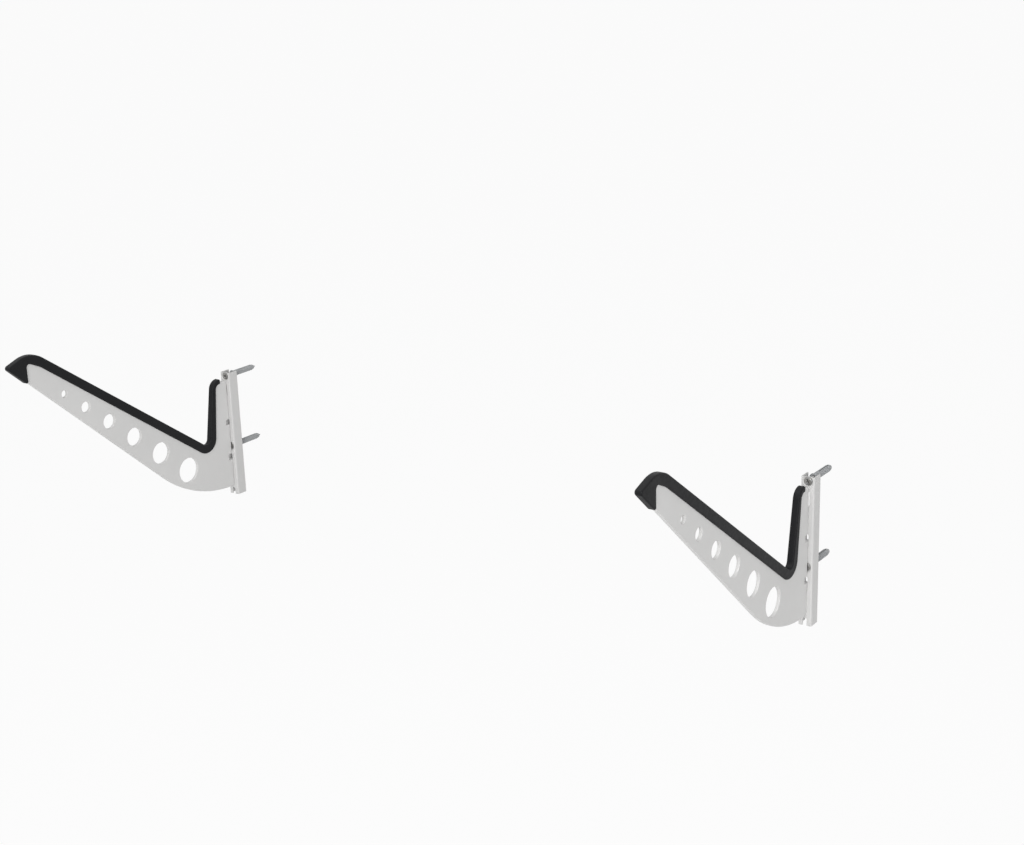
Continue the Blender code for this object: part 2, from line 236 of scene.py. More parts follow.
@dataclass(frozen=True)
class Plane:
    """How a drawing's two axes and its thickness lie in the world."""

    across: Vector
    up: Vector
    thick: Vector

    def lift(self, point: Vector, depth: float) -> Vector:
        """World place of a drawn point at a depth through the thickness."""
        return self.across * point.x + self.up * point.y + self.thick * depth


X_AXIS, Y_AXIS, Z_AXIS = Vector((1, 0, 0)), Vector((0, 1, 0)), Vector((0, 0, 1))
SIDE_VIEW = Plane(Y_AXIS, Z_AXIS, X_AXIS)
PLAN_VIEW = Plane(X_AXIS, Y_AXIS, Z_AXIS)


def mesh_of(name: str, form: bmesh.types.BMesh) -> bpy.types.Mesh:
    """Close a bmesh into a mesh whose faces point outwards.

    Args:
        name: Name of the mesh.
        form: The bmesh, which is used up.

    Returns:
        The mesh.
    """
    bmesh.ops.remove_doubles(form, verts=form.verts, dist=WELD_DISTANCE)
    bmesh.ops.recalc_face_normals(form, faces=form.faces)
    mesh = bpy.data.meshes.new(name)
    form.to_mesh(mesh)
    form.free()
    return mesh


def bridge(form: bmesh.types.BMesh, rings: list[list[Vector]]) -> None:
    """Skin a run of rings of equally many points and cap both ends.

    Args:
        form: The bmesh that takes the skin.
        rings: The rings' points, from one end of the solid to the other.
    """
    rows = [[form.verts.new(point) for point in ring] for ring in rings]
    count = len(rows[0])
    for near, far in zip(rows, rows[1:]):
        for index in range(count):
            after = (index + 1) % count
            form.faces.new((near[index], near[after], far[after], far[index]))
    form.faces.new(rows[0])
    form.faces.new(rows[-1])


def slab(
    name: str,
    outline: Outline,
    plane: Plane,
    depths: tuple[float, float],
    edge_radius: float = 0.0,
    edge_steps: int = 1,
) -> bpy.types.Mesh:
    """Make a solid of even thickness whose two outer edges are rounded over.

    Args:
        name: Name of the mesh.
        outline: Outline of the solid.
        plane: How the outline lies in the world.
        depths: Lowest and highest depth through the thickness.
        edge_radius: Radius of the rounded edges.
        edge_steps: Facets in each rounded edge.

    Returns:
        The mesh.
    """
    low, high = depths
    turns = [0.0]
    if edge_radius > 0.0:
        turns = [math.pi / 2 * step / edge_steps for step in range(edge_steps + 1)]
    layers = []
    for turn in turns:
        rise = edge_radius * (1.0 - math.sin(turn))
        inset = edge_radius * (1.0 - math.cos(turn))
        layers.insert(0, (low + rise, inset))
        layers.append((high - rise, inset))
    form = bmesh.new()
    bridge(form, [[plane.lift(point, depth) for point in outline.ring(inset)] for depth, inset in layers])
    return mesh_of(name, form)


def lathe(name: str, profile: list[tuple[float, float]], sides: int) -> bpy.types.Mesh:
    """Make a round solid about the Y axis.

    Args:
        name: Name of the mesh.
        profile: Places along the axis and the radius at each, from front to back.
        sides: Facets round the axis.

    Returns:
        The mesh.
    """
    angles = [2 * math.pi * side / sides for side in range(sides)]
    form = bmesh.new()
    rings = [[Vector((r * math.cos(a), y, r * math.sin(a))) for a in angles] for y, r in profile]
    bridge(form, rings)
    return mesh_of(name, form)


def show(name: str, mesh: bpy.types.Mesh) -> bpy.types.Object:
    """Put a mesh in the scene as an object.

    Args:
        name: Name of the object.
        mesh: Its mesh.

    Returns:
        The object.
    """
    item = bpy.data.objects.new(name, mesh)
    bpy.context.scene.collection.objects.link(item)
    return item


def settle(item: bpy.types.Object) -> None:
    """Turn what an object's modifiers make into its plain mesh.

    Args:
        item: The object that changes.
    """
    evaluated = item.evaluated_get(bpy.context.evaluated_depsgraph_get())
    result = bpy.data.meshes.new_from_object(evaluated)
    item.modifiers.clear()
    item.data = result


def combine(item: bpy.types.Object, tool: bpy.types.Mesh, mix: Mix) -> None:
    """Join a tool solid to an object or cut it away.

    Args:
        item: The object that changes.
        tool: The tool's mesh.
        mix: Whether the tool is joined or cut.
    """
    cutter = show("cutter", tool)
    step = item.modifiers.new("tool", "BOOLEAN")
    step.operation = mix.value
    step.solver = "EXACT"
    step.object = cutter
    settle(item)
    bpy.data.objects.remove(cutter, do_unlink=True)


def soften_edges(item: bpy.types.Object, width: float, steps: int, above: float) -> None:
    """Round over the edges that are still sharp.

    Args:
        item: The object that changes.
        width: Width of the rounding.
        steps: Facets in it.
        above: Least angle between faces, in degrees, of an edge that is rounded.
    """
    step = item.modifiers.new("soft edges", "BEVEL")
    step.width = width
    step.segments = steps
    step.limit_method = "ANGLE"
    step.angle_limit = math.radians(above)
    step.use_clamp_overlap = True
    settle(item)


def flat_areas(form: bmesh.types.BMesh) -> list[float]:
    """Measure the flat region that each face is part of.

    Args:
        form: The mesh.

    Returns:
        The area of the region, by the face's index.
    """
    form.faces.index_update()
    areas = [0.0] * len(form.faces)
    for start in form.faces:
        if areas[start.index] > 0.0:
            continue
        region, waiting = {start.index: start}, [start]
        while waiting:
            for edge in waiting.pop().edges:
                if edge.calc_face_angle(math.pi) > FLAT_ANGLE:
                    continue
                fresh = [face for face in edge.link_faces if face.index not in region]
                region.update((face.index, face) for face in fresh)
                waiting.extend(fresh)
        total = sum(face.calc_area() for face in region.values())
        for index in region:
            areas[index] = total
    return areas


def shade(mesh: bpy.types.Mesh) -> None:
    """Shade a mesh smooth, and keep its large faces flat up to their edges.

    Args:
        mesh: The mesh that changes.
    """
    mesh.shade_smooth()
    mesh.set_sharp_from_angle(angle=CRISP_ANGLE)
    form = bmesh.new()
    form.from_mesh(mesh)
    areas = flat_areas(form)
    for edge in form.edges:
        if edge.calc_face_angle(0.0) > FLAT_ANGLE:
            if max(areas[face.index] for face in edge.link_faces) > FLAT_FACE_AREA:
                edge.smooth = False
    form.to_mesh(mesh)
    form.free()


class Tree:
    """Adds and links the nodes of one tree, so that a tree reads as a run of calls."""

    def __init__(self, tree: bpy.types.NodeTree) -> None:
        """Take the tree that the nodes go into."""
        self.tree = tree

    def add(self, kind: str, inputs: dict | None = None, **settings: object) -> bpy.types.Node:
        """Add a node.

        Args:
            kind: Blender's name for the node's type.
            inputs: Values or sockets for the node's inputs, by name or index.
            **settings: The node's own properties.

        Returns:
            The node.
        """
        node = self.tree.nodes.new(kind)
        for name, value in settings.items():
            setattr(node, name, value)
        for key, value in (inputs or {}).items():
            self.feed(node.inputs[key], value)
        return node

    def feed(self, socket: bpy.types.NodeSocket, value: object) -> None:
        """Link a socket to another, or set its value.

        Args:
            socket: The input.
            value: A socket to link from, or a plain value.
        """
        if isinstance(value, bpy.types.NodeSocket):
            self.tree.links.new(value, socket)
        else:
            socket.default_value = value

    def calc(self, operation: str, *terms: object, clamp: bool = False) -> bpy.types.NodeSocket:
        """A Math node's result for one to three terms."""
        node = self.add("ShaderNodeMath", dict(enumerate(terms)), operation=operation, use_clamp=clamp)
        return node.outputs[0]

    def arrow(self, x: object = 0.0, y: object = 0.0, z: object = 0.0) -> bpy.types.NodeSocket:
        """A vector put together from its parts."""
        return self.add("ShaderNodeCombineXYZ", {"X": x, "Y": y, "Z": z}).outputs[0]

    def boolean(self, base: object, tool: object, mix: Mix) -> bpy.types.NodeSocket:
        """Join a tool mesh to a base mesh or cut it away.

        Args:
            base: The mesh that changes.
            tool: The tool's mesh.
            mix: Whether the tool is joined or cut.

        Returns:
            The mesh that is left.
        """
        node = self.add("GeometryNodeMeshBoolean", operation=mix.value, solver="EXACT")
        if mix is Mix.CUT:
            self.feed(node.inputs["Mesh 1"], base)
        else:
            self.feed(node.inputs["Mesh 2"], base)
        self.feed(node.inputs["Mesh 2"], tool)
        return node.outputs["Mesh"]


class Recipe:
    """A Geometry Nodes tree with named sizes, which ends in real geometry and a material."""

    SOCKETS = {float: "NodeSocketFloat", int: "NodeSocketInt", Vector: "NodeSocketVector"}

    def __init__(self, name: str, sizes: dict[str, float | int | Vector]) -> None:
        """Start the tree.

        Args:
            name: Name of the tree.
            sizes: The named sizes that the tree reads.
        """
        self.sizes = sizes
        self.group = bpy.data.node_groups.new(name, "GeometryNodeTree")
        self.tree = Tree(self.group)
        face = self.group.interface
        face.new_socket("Geometry", in_out="INPUT", socket_type="NodeSocketGeometry")
        self.keys = {}
        for label, value in sizes.items():
            socket = face.new_socket(label, in_out="INPUT", socket_type=self.SOCKETS[type(value)])
            self.keys[label] = socket.identifier
        material = face.new_socket("Material", in_out="INPUT", socket_type="NodeSocketMaterial")
        self.keys["Material"] = material.identifier
        face.new_socket("Geometry", in_out="OUTPUT", socket_type="NodeSocketGeometry")
        self.given = self.tree.add("NodeGroupInput").outputs

    def close(self, geometry: bpy.types.NodeSocket) -> None:
        """End the tree in real geometry that carries the material.

        Args:
            geometry: What the tree has made.
        """
        real = self.tree.add("GeometryNodeRealizeInstances", {"Geometry": geometry})
        dressed = self.tree.add(
            "GeometryNodeSetMaterial",
            {"Geometry": real.outputs[0], "Material": self.given["Material"]},
        )
        self.tree.add("NodeGroupOutput", {"Geometry": dressed.outputs[0]})

    def apply(self, item: bpy.types.Object, material: bpy.types.Material) -> None:
        """Run the tree on an object and keep the result as its mesh.

        Args:
            item: The object that changes.
            material: The material that the tree sets.
        """
        step = item.modifiers.new(self.group.name, "NODES")
        step.node_group = self.group
        for label, value in self.sizes.items():
            step[self.keys[label]] = value
        step[self.keys["Material"]] = material
        settle(item)


class Effect:
    """Shader node groups that more than one finish uses, each built once."""

    _made: dict[str, bpy.types.NodeTree] = {}

    @classmethod
    def _start(cls, name: str, inputs: dict[str, float], output: str) -> tuple:
        """Start a group that reads a vector and some numbers and puts out one number.

        Args:
            name: Name of the group.
            inputs: The numbers that it reads, by label.
            output: Label of what it puts out.

        Returns:
            The group, its tree and the sockets that it is given.
        """
        group = bpy.data.node_groups.new(name, "ShaderNodeTree")
        group.interface.new_socket("Vector", in_out="INPUT", socket_type="NodeSocketVector")
        for label, value in inputs.items():
            socket = group.interface.new_socket(label, in_out="INPUT", socket_type="NodeSocketFloat")
            socket.default_value = value
        group.interface.new_socket(output, in_out="OUTPUT", socket_type="NodeSocketFloat")
        cls._made[name] = group
        tree = Tree(group)
        return group, tree, tree.add("NodeGroupInput").outputs

    @classmethod
    def mottle(cls) -> bpy.types.NodeTree:
        """Soft cloudy variation.

        Returns:
            A group whose value wanders between Low and High.
        """
        if "mottle" in cls._made:
            return cls._made["mottle"]
        inputs = {"Scale": 20.0, "Low": 0.0, "High": 1.0}
        group, tree, given = cls._start("mottle", inputs, "Value")
        noise = tree.add(
            "ShaderNodeTexNoise",
            {"Vector": given["Vector"], "Scale": given["Scale"], "Detail": 4.0, "Roughness": 0.55},
        )
        spread = tree.add(
            "ShaderNodeMapRange",
            {
                "Value": noise.outputs["Fac"],
                "From Min": 0.3,
                "From Max": 0.7,
                "To Min": given["Low"],
                "To Max": given["High"],
            },
        )
        tree.add("NodeGroupOutput", {"Value": spread.outputs["Result"]})
        return group

    @classmethod
    def grain(cls) -> bpy.types.NodeTree:
        """Fine two-sized relief, such as a powder coat's orange peel.

        Returns:
            A group that puts out a height.
        """
        if "grain" in cls._made:
            return cls._made["grain"]
        inputs = {"Coarse Scale": 500.0, "Fine Scale": 1800.0, "Fine Share": 0.4}
        group, tree, given = cls._start("grain", inputs, "Height")
        heights = [
            tree.add(
                "ShaderNodeTexNoise",
                {"Vector": given["Vector"], "Scale": given[label], "Detail": 2.0, "Roughness": 0.5},
            ).outputs["Fac"]
            for label in ("Coarse Scale", "Fine Scale")
        ]
        fine = tree.calc("MULTIPLY", heights[1], given["Fine Share"])
        tree.add("NodeGroupOutput", {"Height": tree.calc("ADD", heights[0], fine)})
        return group

    @classmethod
    def dust(cls) -> bpy.types.NodeTree:
        """Dust that gathers on faces that look up.

        Returns:
            A group that puts out a mask, from 0 up to Amount.
        """
        if "dust" in cls._made:
            return cls._made["dust"]
        group, tree, given = cls._start("dust", {"Scale": 60.0, "Amount": 0.1}, "Mask")
        facing = tree.add("ShaderNodeTexCoord").outputs["Normal"]
        upward = tree.add("ShaderNodeSeparateXYZ", {"Vector": facing}).outputs["Z"]
        noise = tree.add(
            "ShaderNodeTexNoise",
            {"Vector": given["Vector"], "Scale": given["Scale"], "Detail": 6.0, "Roughness": 0.65},
        )
        patchy = tree.calc("MULTIPLY", noise.outputs["Fac"], given["Amount"])
        mask = tree.calc("MULTIPLY", tree.calc("MAXIMUM", upward, 0.0), patchy)
        tree.add("NodeGroupOutput", {"Mask": mask})
        return group


class Paintwork:
    """A material under way: its Principled shader and the effects that feed it."""

    def __init__(self, name: str) -> None:
        """Start a material with a plain Principled shader.

        Args:
            name: Name of the material.
        """
        self.material = bpy.data.materials.new(name)
        self.material.use_nodes = True
        self.tree = Tree(self.material.node_tree)
        self.shader = self.material.node_tree.nodes["Principled BSDF"]
        self.place = self.tree.add("ShaderNodeTexCoord").outputs["Object"]

    def effect(self, group: bpy.types.NodeTree, **inputs: object) -> bpy.types.NodeSocket:
        """Place an effect's group and feed its inputs.

        Args:
            group: The effect.
            **inputs: Values or sockets for its inputs, in small letters and with underscores.

        Returns:
            What the effect puts out.
        """
        node = self.tree.add("ShaderNodeGroup", node_tree=group)
        self.tree.feed(node.inputs["Vector"], self.place)
        for label, value in inputs.items():
            self.tree.feed(node.inputs[label.replace("_", " ").title()], value)
        return node.outputs[0]

    def blend(self, amount: object, first: object, second: object) -> bpy.types.NodeSocket:
        """Mix two colours.

        Args:
            amount: Share of the second colour.
            first: The first colour.
            second: The second colour.

        Returns:
            The mixed colour.
        """
        node = self.tree.add("ShaderNodeMix", data_type="RGBA")
        for key, value in (("Factor_Float", amount), ("A_Color", first), ("B_Color", second)):
            socket = next(item for item in node.inputs if item.identifier == key)
            self.tree.feed(socket, value)
        return next(item for item in node.outputs if item.identifier == "Result_Color")

    def relief(self, height: object, distance: float, strength: float) -> None:
        """Raise the surface by a height map.

        Args:
            height: The height map, from 0 to about 1.
            distance: Height of its highest points.
            strength: Share of that height that shows.
        """
        bump = self.tree.add(
            "ShaderNodeBump",
            {"Height": height, "Distance": distance, "Strength": strength},
        )
        self.tree.feed(self.shader.inputs["Normal"], bump.outputs["Normal"])

    def set(self, **values: object) -> None:
        """Set or link the shader's inputs, whose names have spaces for underscores."""
        for label, value in values.items():
            self.tree.feed(self.shader.inputs[label.replace("_", " ")], value)


def grey(level: float, tint: Vector = Vector((1.0, 1.0, 1.0))) -> tuple[float, float, float, float]:
    """A colour of an even level with a slight tint."""
    return (level * tint.x, level * tint.y, level * tint.z, 1.0)


@dataclass(frozen=True)
class PowderCoat:
    """Light grey semi-matt powder coat with a fine orange peel and a little dust."""

    name: str
    level: float
    roughness: float
    tint: Vector = Vector((1.0, 0.995, 0.985))
    darker: float = 0.97
    lighter: float = 1.02
    dusted: float = 0.86
    smoother: float = 0.04
    rougher: float = 0.05

    def material(self) -> bpy.types.Material:
        """Build the finish.

        Returns:
            The material.
        """
        work = Paintwork(self.name)
        cloud = work.effect(Effect.mottle(), scale=9.0, low=0.0, high=1.0)
        dark, light = grey(self.level * self.darker, self.tint), grey(self.level * self.lighter, self.tint)
        dusty = work.effect(Effect.dust(), scale=70.0, amount=0.18)
        low, high = self.roughness - self.smoother, self.roughness + self.rougher
        work.set(
            Base_Color=work.blend(
                dusty, work.blend(cloud, dark, light), grey(self.level * self.dusted, self.tint)
            ),
            Roughness=work.effect(Effect.mottle(), scale=160.0, low=low, high=high),
            Specular_IOR_Level=0.4,
        )
        peel = work.effect(Effect.grain(), coarse_scale=700.0, fine_scale=2400.0)
        work.relief(peel, distance=0.00002, strength=0.35)
        return work.material


@dataclass(frozen=True)
class MouldedRubber:
    """Black soft rubber, matt with a faint bloom and a little dust."""

    name: str = "moulded_rubber"
    level: float = 0.0065
    roughness: float = 0.50
    tint: Vector = Vector((0.94, 0.98, 1.12))
    darker: float = 0.8
    lighter: float = 1.35
    dust_level: float = 0.07
    uneven: float = 0.06

    def material(self) -> bpy.types.Material:
        """Build the finish.

        Returns:
            The material.
        """
        work = Paintwork(self.name)
        cloud = work.effect(Effect.mottle(), scale=22.0, low=0.0, high=1.0)
        dark, light = grey(self.level * self.darker, self.tint), grey(self.level * self.lighter, self.tint)
        dusty = work.effect(Effect.dust(), scale=90.0, amount=0.12)
        low, high = self.roughness - self.uneven, self.roughness + self.uneven
        work.set(
            Base_Color=work.blend(dusty, work.blend(cloud, dark, light), grey(self.dust_level)),
            Roughness=work.effect(Effect.mottle(), scale=240.0, low=low, high=high),
            Specular_IOR_Level=0.15,
        )
        skin = work.effect(Effect.grain(), coarse_scale=1300.0, fine_scale=3600.0)
        work.relief(skin, distance=0.00003, strength=0.3)
        return work.material


@dataclass(frozen=True)
class ZincPlate:
    """Zinc plating with slightly uneven polish, its colour darkened as painted shade for the heads sunk in
    the dimples.
    """

    name: str = "zinc_plate"
    # Darker than bare zinc: this level paints the shade that falls on the screw heads sunk deep in the
    # rail's dimples.
    level: float = 0.28
    roughness: float = 0.38
    cool: Vector = Vector((0.97, 1.0, 1.04))
    warm: Vector = Vector((1.05, 1.0, 0.9))
    smoother: float = 0.08
    rougher: float = 0.12

    def material(self) -> bpy.types.Material:
        """Build the finish.

        Returns:
            The material.
        """
        work = Paintwork(self.name)
        cloud = work.effect(Effect.mottle(), scale=420.0, low=0.0, high=1.0)
        low, high = self.roughness - self.smoother, self.roughness + self.rougher
        work.set(
            Base_Color=work.blend(cloud, grey(self.level, self.cool), grey(self.level, self.warm)),
            Metallic=1.0,
            Roughness=work.effect(Effect.mottle(), scale=900.0, low=low, high=high),
        )
        crystals = work.effect(Effect.grain(), coarse_scale=1500.0, fine_scale=5000.0)
        work.relief(crystals, distance=0.00001, strength=0.25)
        return work.material


@dataclass(frozen=True)
class MouldedNylon:
    """Grey nylon with a soft sheen."""

    name: str = "moulded_nylon"
    level: float = 0.36
    roughness: float = 0.48
    tint: Vector = Vector((0.97, 1.0, 1.02))
    darker: float = 0.94
    lighter: float = 1.05
    smoother: float = 0.06
    rougher: float = 0.08

    def material(self) -> bpy.types.Material:
        """Build the finish.

        Returns:
            The material.
        """
        work = Paintwork(self.name)
        cloud = work.effect(Effect.mottle(), scale=150.0, low=0.0, high=1.0)
        dark, light = grey(self.level * self.darker, self.tint), grey(self.level * self.lighter, self.tint)
        low, high = self.roughness - self.smoother, self.roughness + self.rougher
        work.set(
            Base_Color=work.blend(cloud, dark, light),
            Roughness=work.effect(Effect.mottle(), scale=500.0, low=low, high=high),
            Specular_IOR_Level=0.45,
        )
        skin = work.effect(Effect.grain(), coarse_scale=900.0, fine_scale=3000.0)
        work.relief(skin, distance=0.00002, strength=0.3)
        return work.material


@dataclass(frozen=True)
class Place:
    """Where a finished piece goes: its body, the node that it stands for and its slot."""

    name: str
    body: str
    node: str
    slot: str

    def take(self, mesh: bpy.types.Mesh, material: bpy.types.Material, moved: Vector) -> None:
        """Put a copy of a mesh in the scene for this place.

        Args:
            mesh: The piece's mesh.
            material: Its finish.
            moved: How far the copy moves from where the mesh was made.
        """
        piece = show(self.name, mesh.copy())
        piece.data.name = self.name
        piece.data.transform(Matrix.Translation(moved))
        piece.data.materials.clear()
        piece.data.materials.append(material)
        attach(piece, self.body)
        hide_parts(self.node)
        LOG.info("%s rides on %s with %d faces", self.name, self.body, len(piece.data.polygons))


@dataclass(frozen=True)
class ArmShape:
    """Side view of an arm: reaches run out from the rail's face, heights up from the hook's slot."""

    rail_face: float
    slot_end: float
    seat_slope: float = 35.9
    valley_reach: float = 0.0417
    valley_height: float = -0.0120
    valley_radius: float = 0.007
    tongue_lean: float = 9.6
    tongue_top_height: float = 0.0781
    tongue_top_radius: float = 0.0135
    crest_reach: float = 0.3221
    crest_radius: float = 0.038
    nose_fall: float = 19.0
    lower_slope: float = 42.1
    belly_reach: float = 0.0744
    belly_height: float = -0.0786

    def y(self, reach: float) -> float:
        """Y of a point at a reach in front of the rail's face."""
        return self.rail_face - reach

    def z(self, height: float) -> float:
        """Z of a point at a height over the lower end of the upper hook's slot."""
        return self.slot_end + height

    def slope(self) -> Line:
        """The pad's long sloping side."""
        return Line.at(self.y(self.valley_reach), self.z(self.valley_height), -self.seat_slope)

    def tongue(self) -> Line:
        """The pad's side against which the load leans, near the rail."""
        return Line.at(self.y(self.valley_reach), self.z(self.valley_height), 90.0 - self.tongue_lean)

    def top(self) -> Line:
        """The level top of the tongue."""
        return Line.at(self.y(self.valley_reach), self.z(self.tongue_top_height), 0.0)

    def nose(self) -> Line:
        """The pad's side that falls forward from the crest to the tip."""
        rise = (self.crest_reach - self.valley_reach) * math.tan(math.radians(self.seat_slope))
        return Line.at(self.y(self.crest_reach), self.z(self.valley_height) + rise, self.nose_fall)

    def lower(self) -> Line:
        """The plate's straight lower edge, heading up to the tip."""
        return Line.at(self.y(self.belly_reach), self.z(self.belly_height), 180.0 - self.lower_slope)


@dataclass(frozen=True)
class ArmPlate:
    """Flat steel arm with two hooks and a row of round holes that grow towards the wall."""

    shape: ArmShape
    thickness: float
    web_back: float
    neck_bottom: float
    edge_radius: float = 0.00045
    covered: float = 0.0043
    tip_radius: float = 0.006
    rear_top_radius: float = 0.001
    rear_bottom_radius: float = 0.002
    rear_bottom_room: float = 0.0021
    hook_pitch: float = 0.050
    hook_count: int = 2
    neck_height: float = 0.0085
    hook_drop: float = 0.0062
    hook_thickness: float = 0.0035
    hook_corner: float = 0.0008
    notch_height: float = 0.008
    notch_depth: float = 0.006
    hole_count: int = 6
    front_hole_radius: float = 0.0045
    rear_hole_radius: float = 0.017
    rear_hole_reach: float = 0.0831
    rear_hole_height: float = -0.0320
    hole_row_length: float = 0.2505
    hole_sides: int = 96
    edge_steps: int = 4
    cut_steps: int = 3
    cut_angle: float = 70.0

    def hook(self, rear: float, neck_bottom: float) -> list[Corner]:
        """Corners of a relief notch and of the hook below it.

        Args:
            rear: Y of the plate's rear edge.
            neck_bottom: Height of the hook neck's underside.

        Returns:
            The corners, read downwards.
        """
        neck_top = neck_bottom + self.neck_height
        front = self.web_back + FIT_GAP
        back = front + self.hook_thickness
        notch = rear - self.notch_depth
        drop = neck_bottom - self.hook_drop
        points = [
            (rear, neck_top + self.notch_height),
            (notch, neck_top + self.notch_height),
            (notch, neck_top),
            (back, neck_top),
            (back, drop),
            (front, drop),
        ]
        sharp = [(front, neck_bottom), (rear, neck_bottom)]
        corners = [Corner(Vector(point), self.hook_corner) for point in points]
        return corners + [Corner(Vector(point), 0.0) for point in sharp]

    def outline(self) -> Outline:
        """Draw the plate with its hooks.

        Returns:
            The outline, seen from the side.
        """
        shape, deep = self.shape, self.covered
        rear = shape.rail_face - FIT_GAP
        belly_run = shape.belly_reach - FIT_GAP - self.rear_bottom_room
        belly_radius = belly_run / math.tan(math.radians(shape.lower_slope) / 2)
        plain = Outline.of_lines(
            [
                (shape.nose().moved_out(-deep), shape.crest_radius - deep),
                (shape.slope().moved_out(-deep), shape.valley_radius + deep),
                (shape.tongue().moved_out(-deep), shape.tongue_top_radius - deep),
                (shape.top().moved_out(-deep), self.rear_top_radius),
                (Line.at(rear, 0.0, -90.0), self.rear_bottom_radius),
                (Line.at(rear, shape.z(shape.belly_height), 180.0), belly_radius),
                (shape.lower(), self.tip_radius),
            ]
        ).corners
        corners_above_hooks = 4
        hooks = []
        for index in range(self.hook_count):
            hooks += self.hook(rear, self.neck_bottom - index * self.hook_pitch)
        return Outline(plain[:corners_above_hooks] + hooks + plain[corners_above_hooks:])

    def holes(self) -> Recipe:
        """Plan the row of holes, with equal bridges of steel between them.

        Returns:
            The recipe that drills them.
        """
        shape = self.shape
        shrink = (self.rear_hole_radius - self.front_hole_radius) / (self.hole_count - 1)
        mean_diameter = self.rear_hole_radius + self.front_hole_radius
        bridge_width = self.hole_row_length / (self.hole_count - 1) - mean_diameter
        recipe = Recipe(
            "graded_holes",
            {
                "Count": self.hole_count,
                "First Radius": self.rear_hole_radius,
                "Shrink": shrink,
                "Bridge": bridge_width,
                "First Place": Vector((0.0, shape.y(self.rear_hole_reach), shape.z(self.rear_hole_height))),
                "Heading": math.radians(180.0 - (shape.seat_slope + shape.lower_slope) / 2),
                "Depth": 2 * self.thickness,
            },
        )
        tree, given = recipe.tree, recipe.given
        index = tree.add("GeometryNodeInputIndex").outputs[0]
        pitch = tree.calc("MULTIPLY_ADD", given["First Radius"], 2.0, given["Bridge"])
        straight = tree.calc("MULTIPLY", index, pitch)
        narrowing = tree.calc("MULTIPLY", tree.calc("MULTIPLY", index, index), given["Shrink"])
        along = tree.calc("SUBTRACT", straight, narrowing)
        run = tree.arrow(
            0.0,
            tree.calc("MULTIPLY", along, tree.calc("COSINE", given["Heading"])),
            tree.calc("MULTIPLY", along, tree.calc("SINE", given["Heading"])),
        )
        radius = tree.calc("SUBTRACT", given["First Radius"], tree.calc("MULTIPLY", index, given["Shrink"]))
        row = tree.add("GeometryNodeMeshLine", {"Count": given["Count"], "Offset": (0.0, 0.0, 0.0)})
        placed = tree.add(
            "GeometryNodeSetPosition",
            {"Geometry": row.outputs[0], "Position": given["First Place"], "Offset": run},
        )
        drill = tree.add(
            "GeometryNodeMeshCylinder",
            {"Vertices": self.hole_sides, "Radius": 1.0, "Depth": given["Depth"]},
        )
        drills = tree.add(
            "GeometryNodeInstanceOnPoints",
            {
                "Points": placed.outputs[0],
                "Instance": drill.outputs["Mesh"],
                "Rotation": (0.0, math.pi / 2, 0.0),
                "Scale": tree.arrow(radius, radius, 1.0),
            },
        )
        tools = tree.add("GeometryNodeRealizeInstances", {"Geometry": drills.outputs[0]})
        recipe.close(tree.boolean(given["Geometry"], tools.outputs[0], Mix.CUT))
        return recipe

    def mesh(self, material: bpy.types.Material) -> bpy.types.Mesh:
        """Build the plate about x = 0.

        Args:
            material: The plate's finish.

        Returns:
            The plate's mesh.
        """
        faces = (-self.thickness / 2, self.thickness / 2)
        blank = slab("plate_blank", self.outline(), SIDE_VIEW, faces, self.edge_radius, self.edge_steps)
        plate = show("plate_blank", blank)
        self.holes().apply(plate, material)
        soften_edges(plate, self.edge_radius, self.cut_steps, self.cut_angle)
        return finished_mesh(plate)


def finished_mesh(item: bpy.types.Object) -> bpy.types.Mesh:
    """Remove an object and keep its shaded mesh.

    Args:
        item: The object.

    Returns:
        Its mesh.
    """
    mesh = item.data
    bpy.data.objects.remove(item, do_unlink=True)
    shade(mesh)
    return mesh


